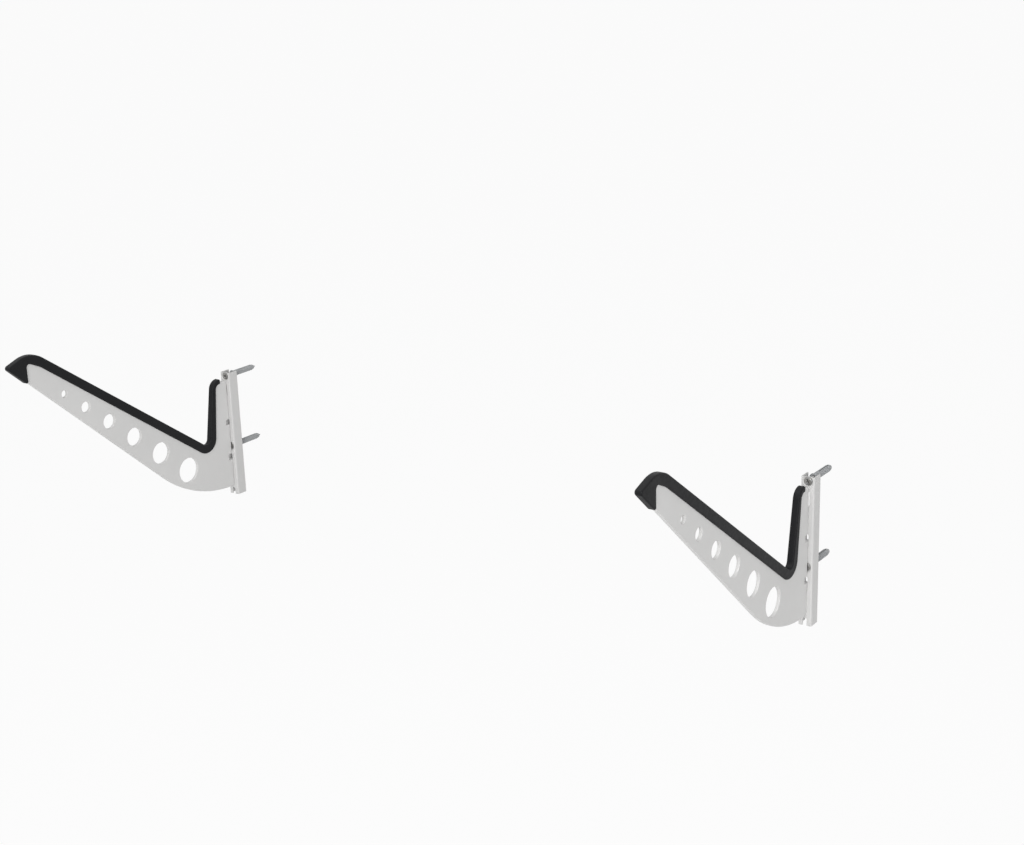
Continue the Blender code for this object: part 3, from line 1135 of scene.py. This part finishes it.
@dataclass(frozen=True)
class EdgePad:
    """Black rubber moulding that wraps the plate's upper edge and covers its tip."""

    shape: ArmShape
    plate: ArmPlate
    width: float
    edge_radius: float = 0.0016
    groove_play: float = 0.00004
    under: float = 0.002
    lip_depth: float = 0.0115
    lip_depth_at_top: float = 0.0067
    end_reach: float = 0.0130
    end_radius: float = 0.0018
    lip_bend_setback: float = 0.0203
    lip_bend_radius: float = 0.045
    lip_crest_slope: float = 25.0
    cap_back_reach: float = 0.3310
    cap_corner_radius: float = 0.004
    cap_foot_radius: float = 0.0020
    tip_radius: float = 0.0035
    edge_steps: int = 6

    def outline(self) -> Outline:
        """Draw the pad: its upper side, then back along the edge of its lips.

        Returns:
            The outline, seen from the side.
        """
        shape = self.shape
        slope, tongue, top = shape.slope(), shape.tongue(), shape.top()
        lip_top = shape.z(shape.tongue_top_height) - self.lip_depth_at_top
        inward = Vector((tongue.heading.y, -tongue.heading.x))
        foot = slope.meet(tongue) + tongue.heading * shape.valley_radius
        head = tongue.meet(top) - tongue.heading * shape.tongue_top_radius
        lip_tongue = Line.between(head + inward * self.lip_depth_at_top, foot + inward * self.lip_depth)
        lip_side = slope.moved_out(-self.lip_depth)
        lip_slope = Line(lip_side.point, -lip_side.heading)
        bend_reach = self.cap_back_reach - self.lip_bend_setback
        bend = lip_slope.meet(Line.at(shape.y(bend_reach), 0.0, -90.0))
        return Outline.of_lines(
            [
                (shape.nose(), shape.crest_radius),
                (slope, shape.valley_radius),
                (tongue, shape.tongue_top_radius),
                (top, self.end_radius),
                (Line.at(shape.y(self.end_reach), 0.0, -90.0), self.end_radius),
                (Line.at(0.0, lip_top, 180.0), shape.tongue_top_radius - self.lip_depth_at_top),
                (lip_tongue, shape.valley_radius + self.lip_depth),
                (lip_slope, self.lip_bend_radius),
                (Line.at(bend.x, bend.y, 180.0 - self.lip_crest_slope), self.cap_corner_radius),
                (Line.at(shape.y(self.cap_back_reach), 0.0, -90.0), self.cap_foot_radius),
                (shape.lower().moved_out(self.under), self.tip_radius),
            ]
        )

    def mesh(self) -> bpy.types.Mesh:
        """Build the pad about x = 0, with the groove that the plate fills.

        Returns:
            The pad's mesh.
        """
        sides = (-self.width / 2, self.width / 2)
        blank = slab("pad_blank", self.outline(), SIDE_VIEW, sides, self.edge_radius, self.edge_steps)
        pad = show("pad_blank", blank)
        reach = self.plate.thickness / 2 + self.groove_play
        groove = slab("groove", self.plate.outline(), SIDE_VIEW, (-reach, reach))
        combine(pad, groove, Mix.CUT)
        return finished_mesh(pad)


@dataclass(frozen=True)
class WallRail:
    """Folded steel channel, open towards the wall, with slots and pressed screw dimples."""

    width: float
    face: float
    length: float
    wall: float = 0.0015
    bend_radius: float = 0.002
    slot_width: float = 0.005
    slot_length: float = 0.018
    slot_pitch: float = 0.050
    first_slot_drop: float = 0.0156
    slot_count: int = 4
    dimple_radius: float = 0.0065
    screw_hole_radius: float = 0.00275
    first_screw_drop: float = 0.005
    screw_pitch: float = 0.100
    screw_count: int = 2
    cup_start: float = 2.0 / 3.0
    round_sides: int = 64
    slot_end_steps: int = 12
    slot_end_share: float = 0.4995
    cut_edge: float = 0.00018
    cut_steps: int = 2
    cut_angle: float = 60.0

    def channel(self) -> bpy.types.Mesh:
        """Fold the plain channel.

        Returns:
            Its mesh, about x = 0 and hanging down from z = 0.
        """
        half, inner = self.width / 2, self.width / 2 - self.wall
        web_back = self.face + self.wall
        tight = self.bend_radius - self.wall
        corners = [
            (-half, self.face, self.bend_radius),
            (-half, 0.0, 0.0),
            (-inner, 0.0, 0.0),
            (-inner, web_back, tight),
            (inner, web_back, tight),
            (inner, 0.0, 0.0),
            (half, 0.0, 0.0),
            (half, self.face, self.bend_radius),
        ]
        outline = Outline([Corner(Vector((x, y)), radius) for x, y, radius in corners])
        return slab("channel", outline, PLAN_VIEW, (-self.length, 0.0))

    def perforation(self) -> Recipe:
        """Plan the dimples with their screw holes and the row of slots.

        A dimple is a cup behind the face, of the wall's own thickness, with a bowl sunk into it. The
        cup starts a share of the wall deep, so that it stays behind the face. What the uppermost
        cup pushes over the rail's end is trimmed off.

        Returns:
            The recipe that presses, drills, punches and trims.
        """
        recipe = Recipe(
            "perforated_channel",
            {
                "Face": self.face,
                "Wall": self.wall,
                "Slot Width": self.slot_width,
                "Slot Length": self.slot_length,
                "Slot Pitch": self.slot_pitch,
                "First Slot": -(self.first_slot_drop + self.slot_length / 2),
                "Slot Count": self.slot_count,
                "Dimple Radius": self.dimple_radius,
                "Hole Radius": self.screw_hole_radius,
                "First Screw": -self.first_screw_drop,
                "Screw Pitch": self.screw_pitch,
                "Screw Count": self.screw_count,
            },
        )
        tree, given = recipe.tree, recipe.given
        screws = self._row(recipe, "Screw Count", "First Screw", "Screw Pitch")
        depth = tree.calc("SUBTRACT", given["Dimple Radius"], given["Hole Radius"])
        slant = tree.calc("MULTIPLY", given["Wall"], math.sqrt(2.0))
        spare = tree.calc("SUBTRACT", slant, given["Wall"])
        cup_depth = tree.calc("ADD", depth, spare)
        cup_rim = tree.calc("ADD", given["Dimple Radius"], slant)
        cup_skip = tree.calc("MULTIPLY", given["Wall"], self.cup_start)
        cup = self._frustum(
            tree,
            tree.calc("SUBTRACT", cup_rim, cup_skip),
            tree.calc("SUBTRACT", cup_rim, cup_depth),
            tree.calc("SUBTRACT", cup_depth, cup_skip),
            tree.calc("ADD", given["Face"], cup_skip),
        )
        bowl = self._frustum(
            tree,
            tree.calc("ADD", given["Dimple Radius"], CUT_MARGIN),
            given["Hole Radius"],
            tree.calc("ADD", depth, CUT_MARGIN),
            tree.calc("SUBTRACT", given["Face"], CUT_MARGIN),
        )
        drill = self._frustum(
            tree,
            given["Hole Radius"],
            given["Hole Radius"],
            tree.calc("ADD", cup_depth, 2 * CUT_MARGIN),
            tree.calc("SUBTRACT", given["Face"], CUT_MARGIN),
        )
        body = tree.boolean(given["Geometry"], self._copies(tree, screws, cup), Mix.JOIN)
        body = tree.boolean(body, self._copies(tree, screws, bowl), Mix.CUT)
        body = tree.boolean(body, self._copies(tree, screws, drill), Mix.CUT)
        slots = self._row(recipe, "Slot Count", "First Slot", "Slot Pitch")
        body = tree.boolean(body, self._copies(tree, slots, self._punch(recipe)), Mix.CUT)
        trimmer = tree.add("GeometryNodeMeshCube", {"Size": (CLEARING_SIZE,) * 3})
        above = tree.add(
            "GeometryNodeTransform",
            {"Geometry": trimmer.outputs["Mesh"], "Translation": (0.0, 0.0, CLEARING_SIZE / 2)},
        )
        recipe.close(tree.boolean(body, above.outputs[0], Mix.CUT))
        return recipe

    @staticmethod
    def _row(recipe: Recipe, count: str, first: str, pitch: str) -> bpy.types.NodeSocket:
        """Set points down the rail.

        Args:
            recipe: The recipe under way.
            count: Name of its size that says how many.
            first: Name of its size that gives the first one's height.
            pitch: Name of its size that gives their spacing.

        Returns:
            The points.
        """
        tree, given = recipe.tree, recipe.given
        start = tree.arrow(0.0, 0.0, given[first])
        step = tree.arrow(0.0, 0.0, tree.calc("MULTIPLY", given[pitch], -1.0))
        row = tree.add(
            "GeometryNodeMeshLine",
            {"Count": given[count], "Start Location": start, "Offset": step},
        )
        return row.outputs[0]

    @staticmethod
    def _copies(tree: Tree, points: object, shape: object) -> bpy.types.NodeSocket:
        """A real copy of a shape at every point."""
        copies = tree.add("GeometryNodeInstanceOnPoints", {"Points": points, "Instance": shape})
        return tree.add("GeometryNodeRealizeInstances", {"Geometry": copies.outputs[0]}).outputs[0]

    def _frustum(
        self, tree: Tree, front: object, back: object, depth: object, start: object
    ) -> bpy.types.NodeSocket:
        """Make a round tool along Y.

        Args:
            tree: The tree that the tool is made in.
            front: Its radius at the front.
            back: Its radius at the back.
            depth: Its length.
            start: Y of its front.

        Returns:
            The tool's mesh.
        """
        cone = tree.add(
            "GeometryNodeMeshCone",
            {"Vertices": self.round_sides, "Radius Bottom": front, "Radius Top": back, "Depth": depth},
        )
        aimed = tree.add(
            "GeometryNodeTransform",
            {
                "Geometry": cone.outputs["Mesh"],
                "Rotation": (-math.pi / 2, 0.0, 0.0),
                "Translation": tree.arrow(0.0, start, 0.0),
            },
        )
        return aimed.outputs[0]

    def _punch(self, recipe: Recipe) -> bpy.types.NodeSocket:
        """Make a round-ended slot tool that reaches through the channel's face.

        The ends are rounded by a hair less than half the width, which keeps the sides of the tool.

        Args:
            recipe: The recipe under way.

        Returns:
            The tool's mesh.
        """
        tree, given = recipe.tree, recipe.given
        frame_line = tree.add(
            "GeometryNodeCurvePrimitiveQuadrilateral",
            {"Width": given["Slot Width"], "Height": given["Slot Length"]},
        )
        rounded = tree.add(
            "GeometryNodeFilletCurve",
            {
                "Curve": frame_line.outputs[0],
                "Count": self.slot_end_steps,
                "Radius": tree.calc("MULTIPLY", given["Slot Width"], self.slot_end_share),
            },
            mode="POLY",
        )
        path = tree.add(
            "GeometryNodeCurvePrimitiveLine",
            {
                "Start": tree.arrow(0.0, tree.calc("SUBTRACT", given["Face"], CUT_MARGIN), 0.0),
                "End": tree.arrow(0.0, tree.calc("ADD", given["Face"], 2 * CUT_MARGIN), 0.0),
            },
        )
        solid = tree.add(
            "GeometryNodeCurveToMesh",
            {"Curve": path.outputs[0], "Profile Curve": rounded.outputs[0], "Fill Caps": True},
        )
        return solid.outputs[0]

    def mesh(self, material: bpy.types.Material) -> bpy.types.Mesh:
        """Build the rail about x = 0.

        Args:
            material: The rail's finish.

        Returns:
            The rail's mesh.
        """
        rail = show("rail_blank", self.channel())
        self.perforation().apply(rail, material)
        soften_edges(rail, self.cut_edge, self.cut_steps, self.cut_angle)
        return finished_mesh(rail)


@dataclass(frozen=True)
class WallScrew:
    """Countersunk wood screw with a cross recess and a coarse thread."""

    top: float
    tip: float
    head_radius: float
    head_rim: float = 0.0004
    shank_radius: float = 0.0020
    crest: float = 0.0005
    core_radius: float = 0.0017
    pitch: float = 0.0022
    neck: float = 0.0050
    point_length: float = 0.006
    recess_reach: float = 0.0027
    recess_width: float = 0.0011
    recess_depth: float = 0.0024
    recess_mouth: float = 1.5
    recess_foot: float = 0.42
    face_inset: float = 0.00025
    shoulder_inset: float = 0.00008
    shoulder_drop: float = 0.00012
    neck_taper_end: float = 1.2
    neck_taper_share: float = 0.9
    head_sides: int = 64
    thread_sides: int = 28
    rows_per_turn: float = 10.0
    ridge_power: float = 2.2
    blunt_share: float = 0.04

    def neck_start(self) -> float:
        """Y where the head's cone has narrowed to the neck."""
        return self.top + self.head_rim + self.head_radius - self.shank_radius

    def head(self) -> bpy.types.Mesh:
        """Turn the head with its cone and a short plain neck that runs into the threaded core.

        Returns:
            The head's mesh.
        """
        neck = self.neck_start()
        return lathe(
            "screw_head",
            [
                (self.top, self.head_radius - self.face_inset),
                (self.top + self.shoulder_drop, self.head_radius - self.shoulder_inset),
                (self.top + self.head_rim, self.head_radius),
                (neck, self.shank_radius),
                (neck + self.neck, self.shank_radius),
                (neck + self.neck_taper_end * self.neck, self.core_radius * self.neck_taper_share),
            ],
            self.head_sides,
        )

    def recess(self, across: bool) -> bpy.types.Mesh:
        """Make the tool for one arm of the cross recess, which narrows with depth.

        Args:
            across: Whether the arm lies across the screw or up and down.

        Returns:
            The tool's mesh.
        """
        mouth = (self.top - CUT_MARGIN, self.recess_reach * self.recess_mouth)
        foot = (self.top + self.recess_depth, self.recess_reach * self.recess_foot)
        half = self.recess_width / 2
        form = bmesh.new()
        rings = []
        for y, reach in (mouth, foot):
            ring = [(-reach, -half), (reach, -half), (reach, half), (-reach, half)]
            rings.append([Vector((u, y, v)) if across else Vector((v, y, u)) for u, v in ring])
        bridge(form, rings)
        return mesh_of("recess", form)

    def thread(self) -> Recipe:
        """Plan the thread: a blank is turned into a threaded core and joined to the head.

        Returns:
            The recipe that cuts and joins it.
        """
        start = self.neck_start() + self.neck
        length = self.tip - start
        recipe = Recipe(
            "wood_thread",
            {
                "Start": start,
                "Length": length,
                "Core Radius": self.core_radius,
                "Crest": self.crest + self.shank_radius - self.core_radius,
                "Pitch": self.pitch,
                "Point": self.point_length,
            },
        )
        tree, given = recipe.tree, recipe.given
        turn_count = tree.calc("DIVIDE", given["Length"], given["Pitch"])
        blank = tree.add(
            "GeometryNodeMeshCylinder",
            {
                "Vertices": self.thread_sides,
                "Side Segments": tree.calc("MULTIPLY", turn_count, self.rows_per_turn),
                "Radius": given["Core Radius"],
                "Depth": given["Length"],
            },
        )
        position = tree.add("GeometryNodeInputPosition").outputs[0]
        x, y, z = tree.add("ShaderNodeSeparateXYZ", {"Vector": position}).outputs
        along = tree.calc("ADD", z, tree.calc("MULTIPLY", given["Length"], 0.5))
        turns = tree.calc("DIVIDE", tree.calc("ARCTAN2", y, x), 2 * math.pi)
        phase = tree.calc("FRACT", tree.calc("ADD", tree.calc("DIVIDE", along, given["Pitch"]), turns))
        centred = tree.calc("ABSOLUTE", tree.calc("MULTIPLY_ADD", phase, 2.0, -1.0))
        ridge = tree.calc("POWER", tree.calc("SUBTRACT", 1.0, centred), self.ridge_power)
        left = tree.calc("SUBTRACT", given["Length"], along)
        narrowing = tree.calc("DIVIDE", left, given["Point"], clamp=True)
        point = tree.calc("MAXIMUM", narrowing, self.blunt_share)
        core = tree.calc("MULTIPLY", given["Core Radius"], point)
        run_in = tree.calc("DIVIDE", along, given["Pitch"], clamp=True)
        fade = tree.calc("MULTIPLY", run_in, narrowing)
        grown = tree.calc("MULTIPLY", tree.calc("MULTIPLY", ridge, given["Crest"]), fade)
        share = tree.calc("DIVIDE", tree.calc("ADD", core, grown), given["Core Radius"])
        place = tree.arrow(
            tree.calc("MULTIPLY", x, share),
            tree.calc("ADD", along, given["Start"]),
            tree.calc("MULTIPLY", tree.calc("MULTIPLY", y, share), -1.0),
        )
        cut = tree.add("GeometryNodeSetPosition", {"Geometry": blank.outputs["Mesh"], "Position": place})
        recipe.close(tree.boolean(given["Geometry"], cut.outputs[0], Mix.JOIN))
        return recipe

    def mesh(self, material: bpy.types.Material) -> bpy.types.Mesh:
        """Build the screw about the Y axis.

        Args:
            material: The screw's finish.

        Returns:
            The screw's mesh.
        """
        screw = show("screw_blank", self.head())
        for across in (True, False):
            combine(screw, self.recess(across), Mix.CUT)
        self.thread().apply(screw, material)
        return finished_mesh(screw)


@dataclass(frozen=True)
class WallPlug:
    """Nylon wall plug: a rimmed, ribbed sleeve that is slit over its deep end."""

    rim_radius: float
    mouth: float
    end: float
    rib_radius: float = 0.0040
    body_radius: float = 0.0035
    bore_radius: float = 0.00252
    rim_thickness: float = 0.0010
    rib_pitch: float = 0.0031
    rib_count: int = 10
    first_rib: float = 0.0070
    slit_width: float = 0.0012
    slit_start: float = 0.0120
    rim_round: float = 0.0003
    rim_break: float = 0.0001
    collar_end: float = 0.0045
    body_start: float = 0.0052
    end_taper: float = 0.0020
    end_narrowing: float = 0.0006
    rib_root: float = 0.0001
    rib_share: float = 0.7
    sides: int = 56
    bore_sides: int = 48

    def sleeve(self) -> bpy.types.Mesh:
        """Turn the solid sleeve: a rounded rim, a plain collar, the body and its tapered end.

        Returns:
            The sleeve's mesh.
        """
        rim_back = self.mouth + self.rim_thickness
        return lathe(
            "sleeve",
            [
                (self.mouth, self.rim_radius - self.rim_round),
                (self.mouth + self.rim_round, self.rim_radius),
                (rim_back - self.rim_break, self.rim_radius),
                (rim_back, self.rim_radius - self.rim_break),
                (rim_back, self.rib_radius),
                (rim_back + self.collar_end, self.rib_radius),
                (rim_back + self.body_start, self.body_radius),
                (self.end - self.end_taper, self.body_radius),
                (self.end, self.body_radius - self.end_narrowing),
            ],
            self.sides,
        )

    def ribs(self) -> Recipe:
        """Plan the saw-tooth ribs, the bore and the slit.

        Returns:
            The recipe that adds the ribs, then bores and slits the sleeve.
        """
        recipe = Recipe(
            "ribbed_sleeve",
            {
                "First Rib": self.first_rib,
                "Rib Pitch": self.rib_pitch,
                "Rib Count": self.rib_count,
                "Rib Radius": self.rib_radius,
                "Root Radius": self.body_radius - self.rib_root,
                "Bore Radius": self.bore_radius,
                "Slit Place": Vector((0.0, (self.slit_start + self.end + CUT_MARGIN) / 2, 0.0)),
                "Slit Size": Vector(
                    (self.slit_width, self.end + CUT_MARGIN - self.slit_start, 3 * self.rib_radius)
                ),
            },
        )
        tree, given = recipe.tree, recipe.given
        rib = tree.add(
            "GeometryNodeMeshCone",
            {
                "Vertices": self.sides,
                "Radius Bottom": given["Rib Radius"],
                "Radius Top": given["Root Radius"],
                "Depth": tree.calc("MULTIPLY", given["Rib Pitch"], self.rib_share),
            },
        )
        row = tree.add(
            "GeometryNodeMeshLine",
            {
                "Count": given["Rib Count"],
                "Start Location": tree.arrow(0.0, given["First Rib"], 0.0),
                "Offset": tree.arrow(0.0, given["Rib Pitch"], 0.0),
            },
        )
        copies = tree.add(
            "GeometryNodeInstanceOnPoints",
            {
                "Points": row.outputs[0],
                "Instance": rib.outputs["Mesh"],
                "Rotation": (-math.pi / 2, 0.0, 0.0),
            },
        )
        teeth = tree.add("GeometryNodeRealizeInstances", {"Geometry": copies.outputs[0]})
        body = tree.boolean(given["Geometry"], teeth.outputs[0], Mix.JOIN)
        drill = tree.add(
            "GeometryNodeMeshCylinder",
            {"Vertices": self.bore_sides, "Radius": given["Bore Radius"], "Depth": 2 * CLEARING_SIZE},
        )
        aimed = tree.add(
            "GeometryNodeTransform",
            {"Geometry": drill.outputs["Mesh"], "Rotation": (math.pi / 2, 0.0, 0.0)},
        )
        body = tree.boolean(body, aimed.outputs[0], Mix.CUT)
        saw = tree.add("GeometryNodeMeshCube", {"Size": given["Slit Size"]})
        placed = tree.add(
            "GeometryNodeTransform",
            {"Geometry": saw.outputs["Mesh"], "Translation": given["Slit Place"]},
        )
        recipe.close(tree.boolean(body, placed.outputs[0], Mix.CUT))
        return recipe

    def mesh(self, material: bpy.types.Material) -> bpy.types.Mesh:
        """Build the plug about the Y axis.

        Args:
            material: The plug's finish.

        Returns:
            The plug's mesh.
        """
        plug = show("plug_blank", self.sleeve())
        self.ribs().apply(plug, material)
        return finished_mesh(plug)


class Rack:
    """Every piece of the rack, on both sides.

    Each screw stops at its own turn, in degrees: so much for each place down the rail, and so much
    more on the right.
    """

    TURN_BY_PLACE = 37.0
    TURN_ON_RIGHT = 23.0

    def __init__(self) -> None:
        """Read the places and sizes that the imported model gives."""
        rail_low, rail_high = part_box("left_rail")
        plate_low, plate_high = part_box("left_arm_plate")
        pad_low, pad_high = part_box("left_edge_pad")
        screw_low, screw_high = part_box("left_wall_screw_1")
        plug_low, plug_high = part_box("left_wall_plug_1")
        self.rail = WallRail(
            width=rail_high.x - rail_low.x, face=rail_low.y, length=rail_high.z - rail_low.z
        )
        slot_end = -(self.rail.first_slot_drop + self.rail.slot_pitch + self.rail.slot_length)
        shape = ArmShape(rail_face=rail_low.y, slot_end=slot_end)
        thickness = plate_high.x - plate_low.x
        slot_radius = self.rail.slot_width / 2
        end_rise = slot_radius - math.sqrt(slot_radius**2 - (thickness / 2) ** 2)
        self.plate = ArmPlate(
            shape=shape,
            thickness=thickness,
            web_back=rail_low.y + self.rail.wall,
            neck_bottom=slot_end + end_rise + FIT_GAP,
        )
        self.pad = EdgePad(shape=shape, plate=self.plate, width=pad_high.x - pad_low.x)
        self.screw = WallScrew(
            top=screw_low.y, tip=screw_high.y, head_radius=(screw_high.x - screw_low.x) / 2
        )
        self.plug = WallPlug(
            rim_radius=(plug_high.x - plug_low.x) / 2, mouth=plug_low.y, end=plug_high.y
        )

    def build(self) -> None:
        """Make every piece and put it in its place."""
        plate_coat = PowderCoat("plate_coat_light_grey", level=0.64, roughness=0.44).material()
        rail_coat = PowderCoat("rail_coat_light_grey", level=0.60, roughness=0.40).material()
        rubber = MouldedRubber().material()
        zinc = ZincPlate().material()
        nylon = MouldedNylon().material()
        rail, plate, pad = self.rail.mesh(rail_coat), self.plate.mesh(plate_coat), self.pad.mesh()
        screw, plug = self.screw.mesh(zinc), self.plug.mesh(nylon)
        for side in Side:
            across = Vector((side.centre_x(), 0.0, 0.0))
            word, arm = side.value, f"{side.value}_arm"
            rail_place = Place(f"{word}_slotted_rail", "wall_rails", side.node("rail"), "rail_coat")
            plate_place = Place(f"{word}_steel_arm", arm, side.node("arm_plate"), "plate_coat")
            pad_place = Place(f"{word}_rubber_pad", arm, side.node("edge_pad"), "pad_rubber")
            rail_place.take(rail, rail_coat, across)
            plate_place.take(plate, plate_coat, across)
            pad_place.take(pad, rubber, across)
            for height in Height:
                self._fasten(side, height, (screw, zinc), (plug, nylon))

    def _fasten(
        self,
        side: Side,
        height: Height,
        screw: tuple[bpy.types.Mesh, bpy.types.Material],
        plug: tuple[bpy.types.Mesh, bpy.types.Material],
    ) -> None:
        """Put one screw and its plug in, the screw turned to where it happened to stop.

        Args:
            side: The half of the rack.
            height: The place on its rail.
            screw: The screw's mesh and finish.
            plug: The plug's mesh and finish.
        """
        word = f"{side.value}_{height.name.lower()}"
        screw_node = side.node(f"wall_screw_{height.value}")
        plug_node = side.node(f"wall_plug_{height.value}")
        low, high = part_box(screw_node)
        spot = X_AXIS * side.centre_x() + Z_AXIS * (low.z + high.z) / 2
        stop = math.radians(self.TURN_BY_PLACE * height.value + self.TURN_ON_RIGHT * (side is Side.RIGHT))
        driven = screw[0].copy()
        driven.transform(Euler((0.0, stop, 0.0)).to_matrix().to_4x4())
        Place(f"{word}_screw", "wall_rails", screw_node, "screw_zinc").take(driven, screw[1], spot)
        Place(f"{word}_plug", "wall_rails", plug_node, "plug_nylon").take(plug[0], plug[1], spot)


@dataclass(frozen=True)
class SoftLamp:
    """A square soft box that looks at a point."""

    name: str
    place: Vector
    size: float
    power: float
    aim: Vector = Vector((0.0, -0.15, -0.05))

    def hang(self) -> None:
        """Put the lamp in the scene."""
        data = bpy.data.lights.new(self.name, "AREA")
        data.shape = "SQUARE"
        data.size = self.size
        data.energy = self.power
        lamp = bpy.data.objects.new(self.name, data)
        lamp.location = self.place
        lamp.rotation_euler = (self.aim - self.place).to_track_quat("-Z", "Y").to_euler()
        bpy.context.scene.collection.objects.link(lamp)


def rays_that_see(tree: Tree) -> bpy.types.NodeSocket:
    """Pick out the rays that see the background as it is painted.

    Args:
        tree: The tree that asks.

    Returns:
        1 for a ray from the camera, a reflection or a see-through part, and 0 for lighting.
    """
    path = tree.add("ShaderNodeLightPath").outputs
    through = tree.calc("MAXIMUM", path["Is Camera Ray"], path["Is Transmission Ray"])
    return tree.calc("MAXIMUM", through, path["Is Glossy Ray"])


@dataclass(frozen=True)
class Studio:
    """Plain pale floor, pale surroundings and soft light."""

    floor_drop: float = 1.1
    floor_half: float = 40.0
    floor_level: float = 0.80
    ambient: float = 0.50
    shown_white: float = 0.93

    def floor(self) -> None:
        """Lay the floor, which shows nearly white and keeps a soft shadow."""
        half = self.floor_half
        corners = [(-half, -half), (half, -half), (half, half), (-half, half)]
        form = bmesh.new()
        form.faces.new([form.verts.new((x, y, -self.floor_drop)) for x, y in corners])
        mesh = bpy.data.meshes.new("studio_floor")
        form.to_mesh(mesh)
        form.free()
        item = show("studio_floor", mesh)
        material = bpy.data.materials.new("floor_paint")
        material.use_nodes = True
        tree = Tree(material.node_tree)
        material.node_tree.nodes.clear()
        paint = tree.add("ShaderNodeBsdfDiffuse", {"Color": grey(self.floor_level)})
        glow = tree.add("ShaderNodeEmission", {"Color": grey(1.0), "Strength": 1.0})
        share = tree.calc("MULTIPLY", rays_that_see(tree), self.shown_white)
        mixed = tree.add("ShaderNodeMixShader", {0: share, 1: paint.outputs[0], 2: glow.outputs[0]})
        tree.add("ShaderNodeOutputMaterial", {"Surface": mixed.outputs[0]})
        mesh.materials.append(material)

    def surroundings(self) -> None:
        """Set a world that lights evenly and shows white."""
        world = bpy.data.worlds.new("pale_room")
        world.use_nodes = True
        world.node_tree.nodes.clear()
        tree = Tree(world.node_tree)
        seen = rays_that_see(tree)
        lit = tree.add("ShaderNodeBackground", {"Color": grey(1.0), "Strength": self.ambient})
        white = tree.add("ShaderNodeBackground", {"Color": grey(1.0), "Strength": 1.0})
        mixed = tree.add("ShaderNodeMixShader", {0: seen, 1: lit.outputs[0], 2: white.outputs[0]})
        tree.add("ShaderNodeOutputWorld", {"Surface": mixed.outputs[0]})
        bpy.context.scene.world = world

    def lamps(self) -> None:
        """Hang the soft boxes: a key in front, a fill on the right and a rim from above."""
        SoftLamp("key", Vector((1.3, -3.3, 0.9)), size=1.8, power=64.0).hang()
        SoftLamp("fill", Vector((3.4, -1.4, 0.7)), size=1.6, power=21.0).hang()
        SoftLamp("rim", Vector((-0.6, -0.9, 2.6)), size=1.2, power=22.0).hang()

    def build(self) -> None:
        """Set up the whole studio."""
        self.floor()
        self.surroundings()
        self.lamps()
        bpy.context.scene.view_settings.view_transform = "Standard"


@dataclass(frozen=True)
class PhotoCamera:
    """The camera of the photograph: where it stands and how it is turned, in degrees."""

    place: Vector = Vector((1.18914, -1.62958, 0.62045))
    turn_left: float = 35.3549
    tilt_down: float = 17.3482
    roll_clockwise: float = 1.8317
    focal_pixels: float = 1711.87
    image_width: int = 1024
    sensor_width: float = 36.0
    nearest_seen: float = 0.05
    furthest_seen: float = 200.0

    def build(self) -> None:
        """Put the camera in the scene and make it the scene's own."""
        data = bpy.data.cameras.new("photo_camera")
        data.sensor_width = self.sensor_width
        data.lens = self.focal_pixels / self.image_width * self.sensor_width
        data.clip_start = self.nearest_seen
        data.clip_end = self.furthest_seen
        camera = bpy.data.objects.new("photo_camera", data)
        upright = Euler((math.radians(90.0 - self.tilt_down), 0.0, math.radians(self.turn_left)))
        rolled = Matrix.Rotation(math.radians(-self.roll_clockwise), 4, "Z")
        camera.matrix_world = Matrix.Translation(self.place) @ upright.to_matrix().to_4x4() @ rolled
        bpy.context.scene.collection.objects.link(camera)
        bpy.context.scene.camera = camera


def main() -> None:
    """Build the rack, the studio and the camera."""
    logging.basicConfig(level=logging.INFO, format="%(name)s: %(message)s")
    PhotoCamera().build()
    Rack().build()
    Studio().build()


if __name__ == "__main__":
    main()
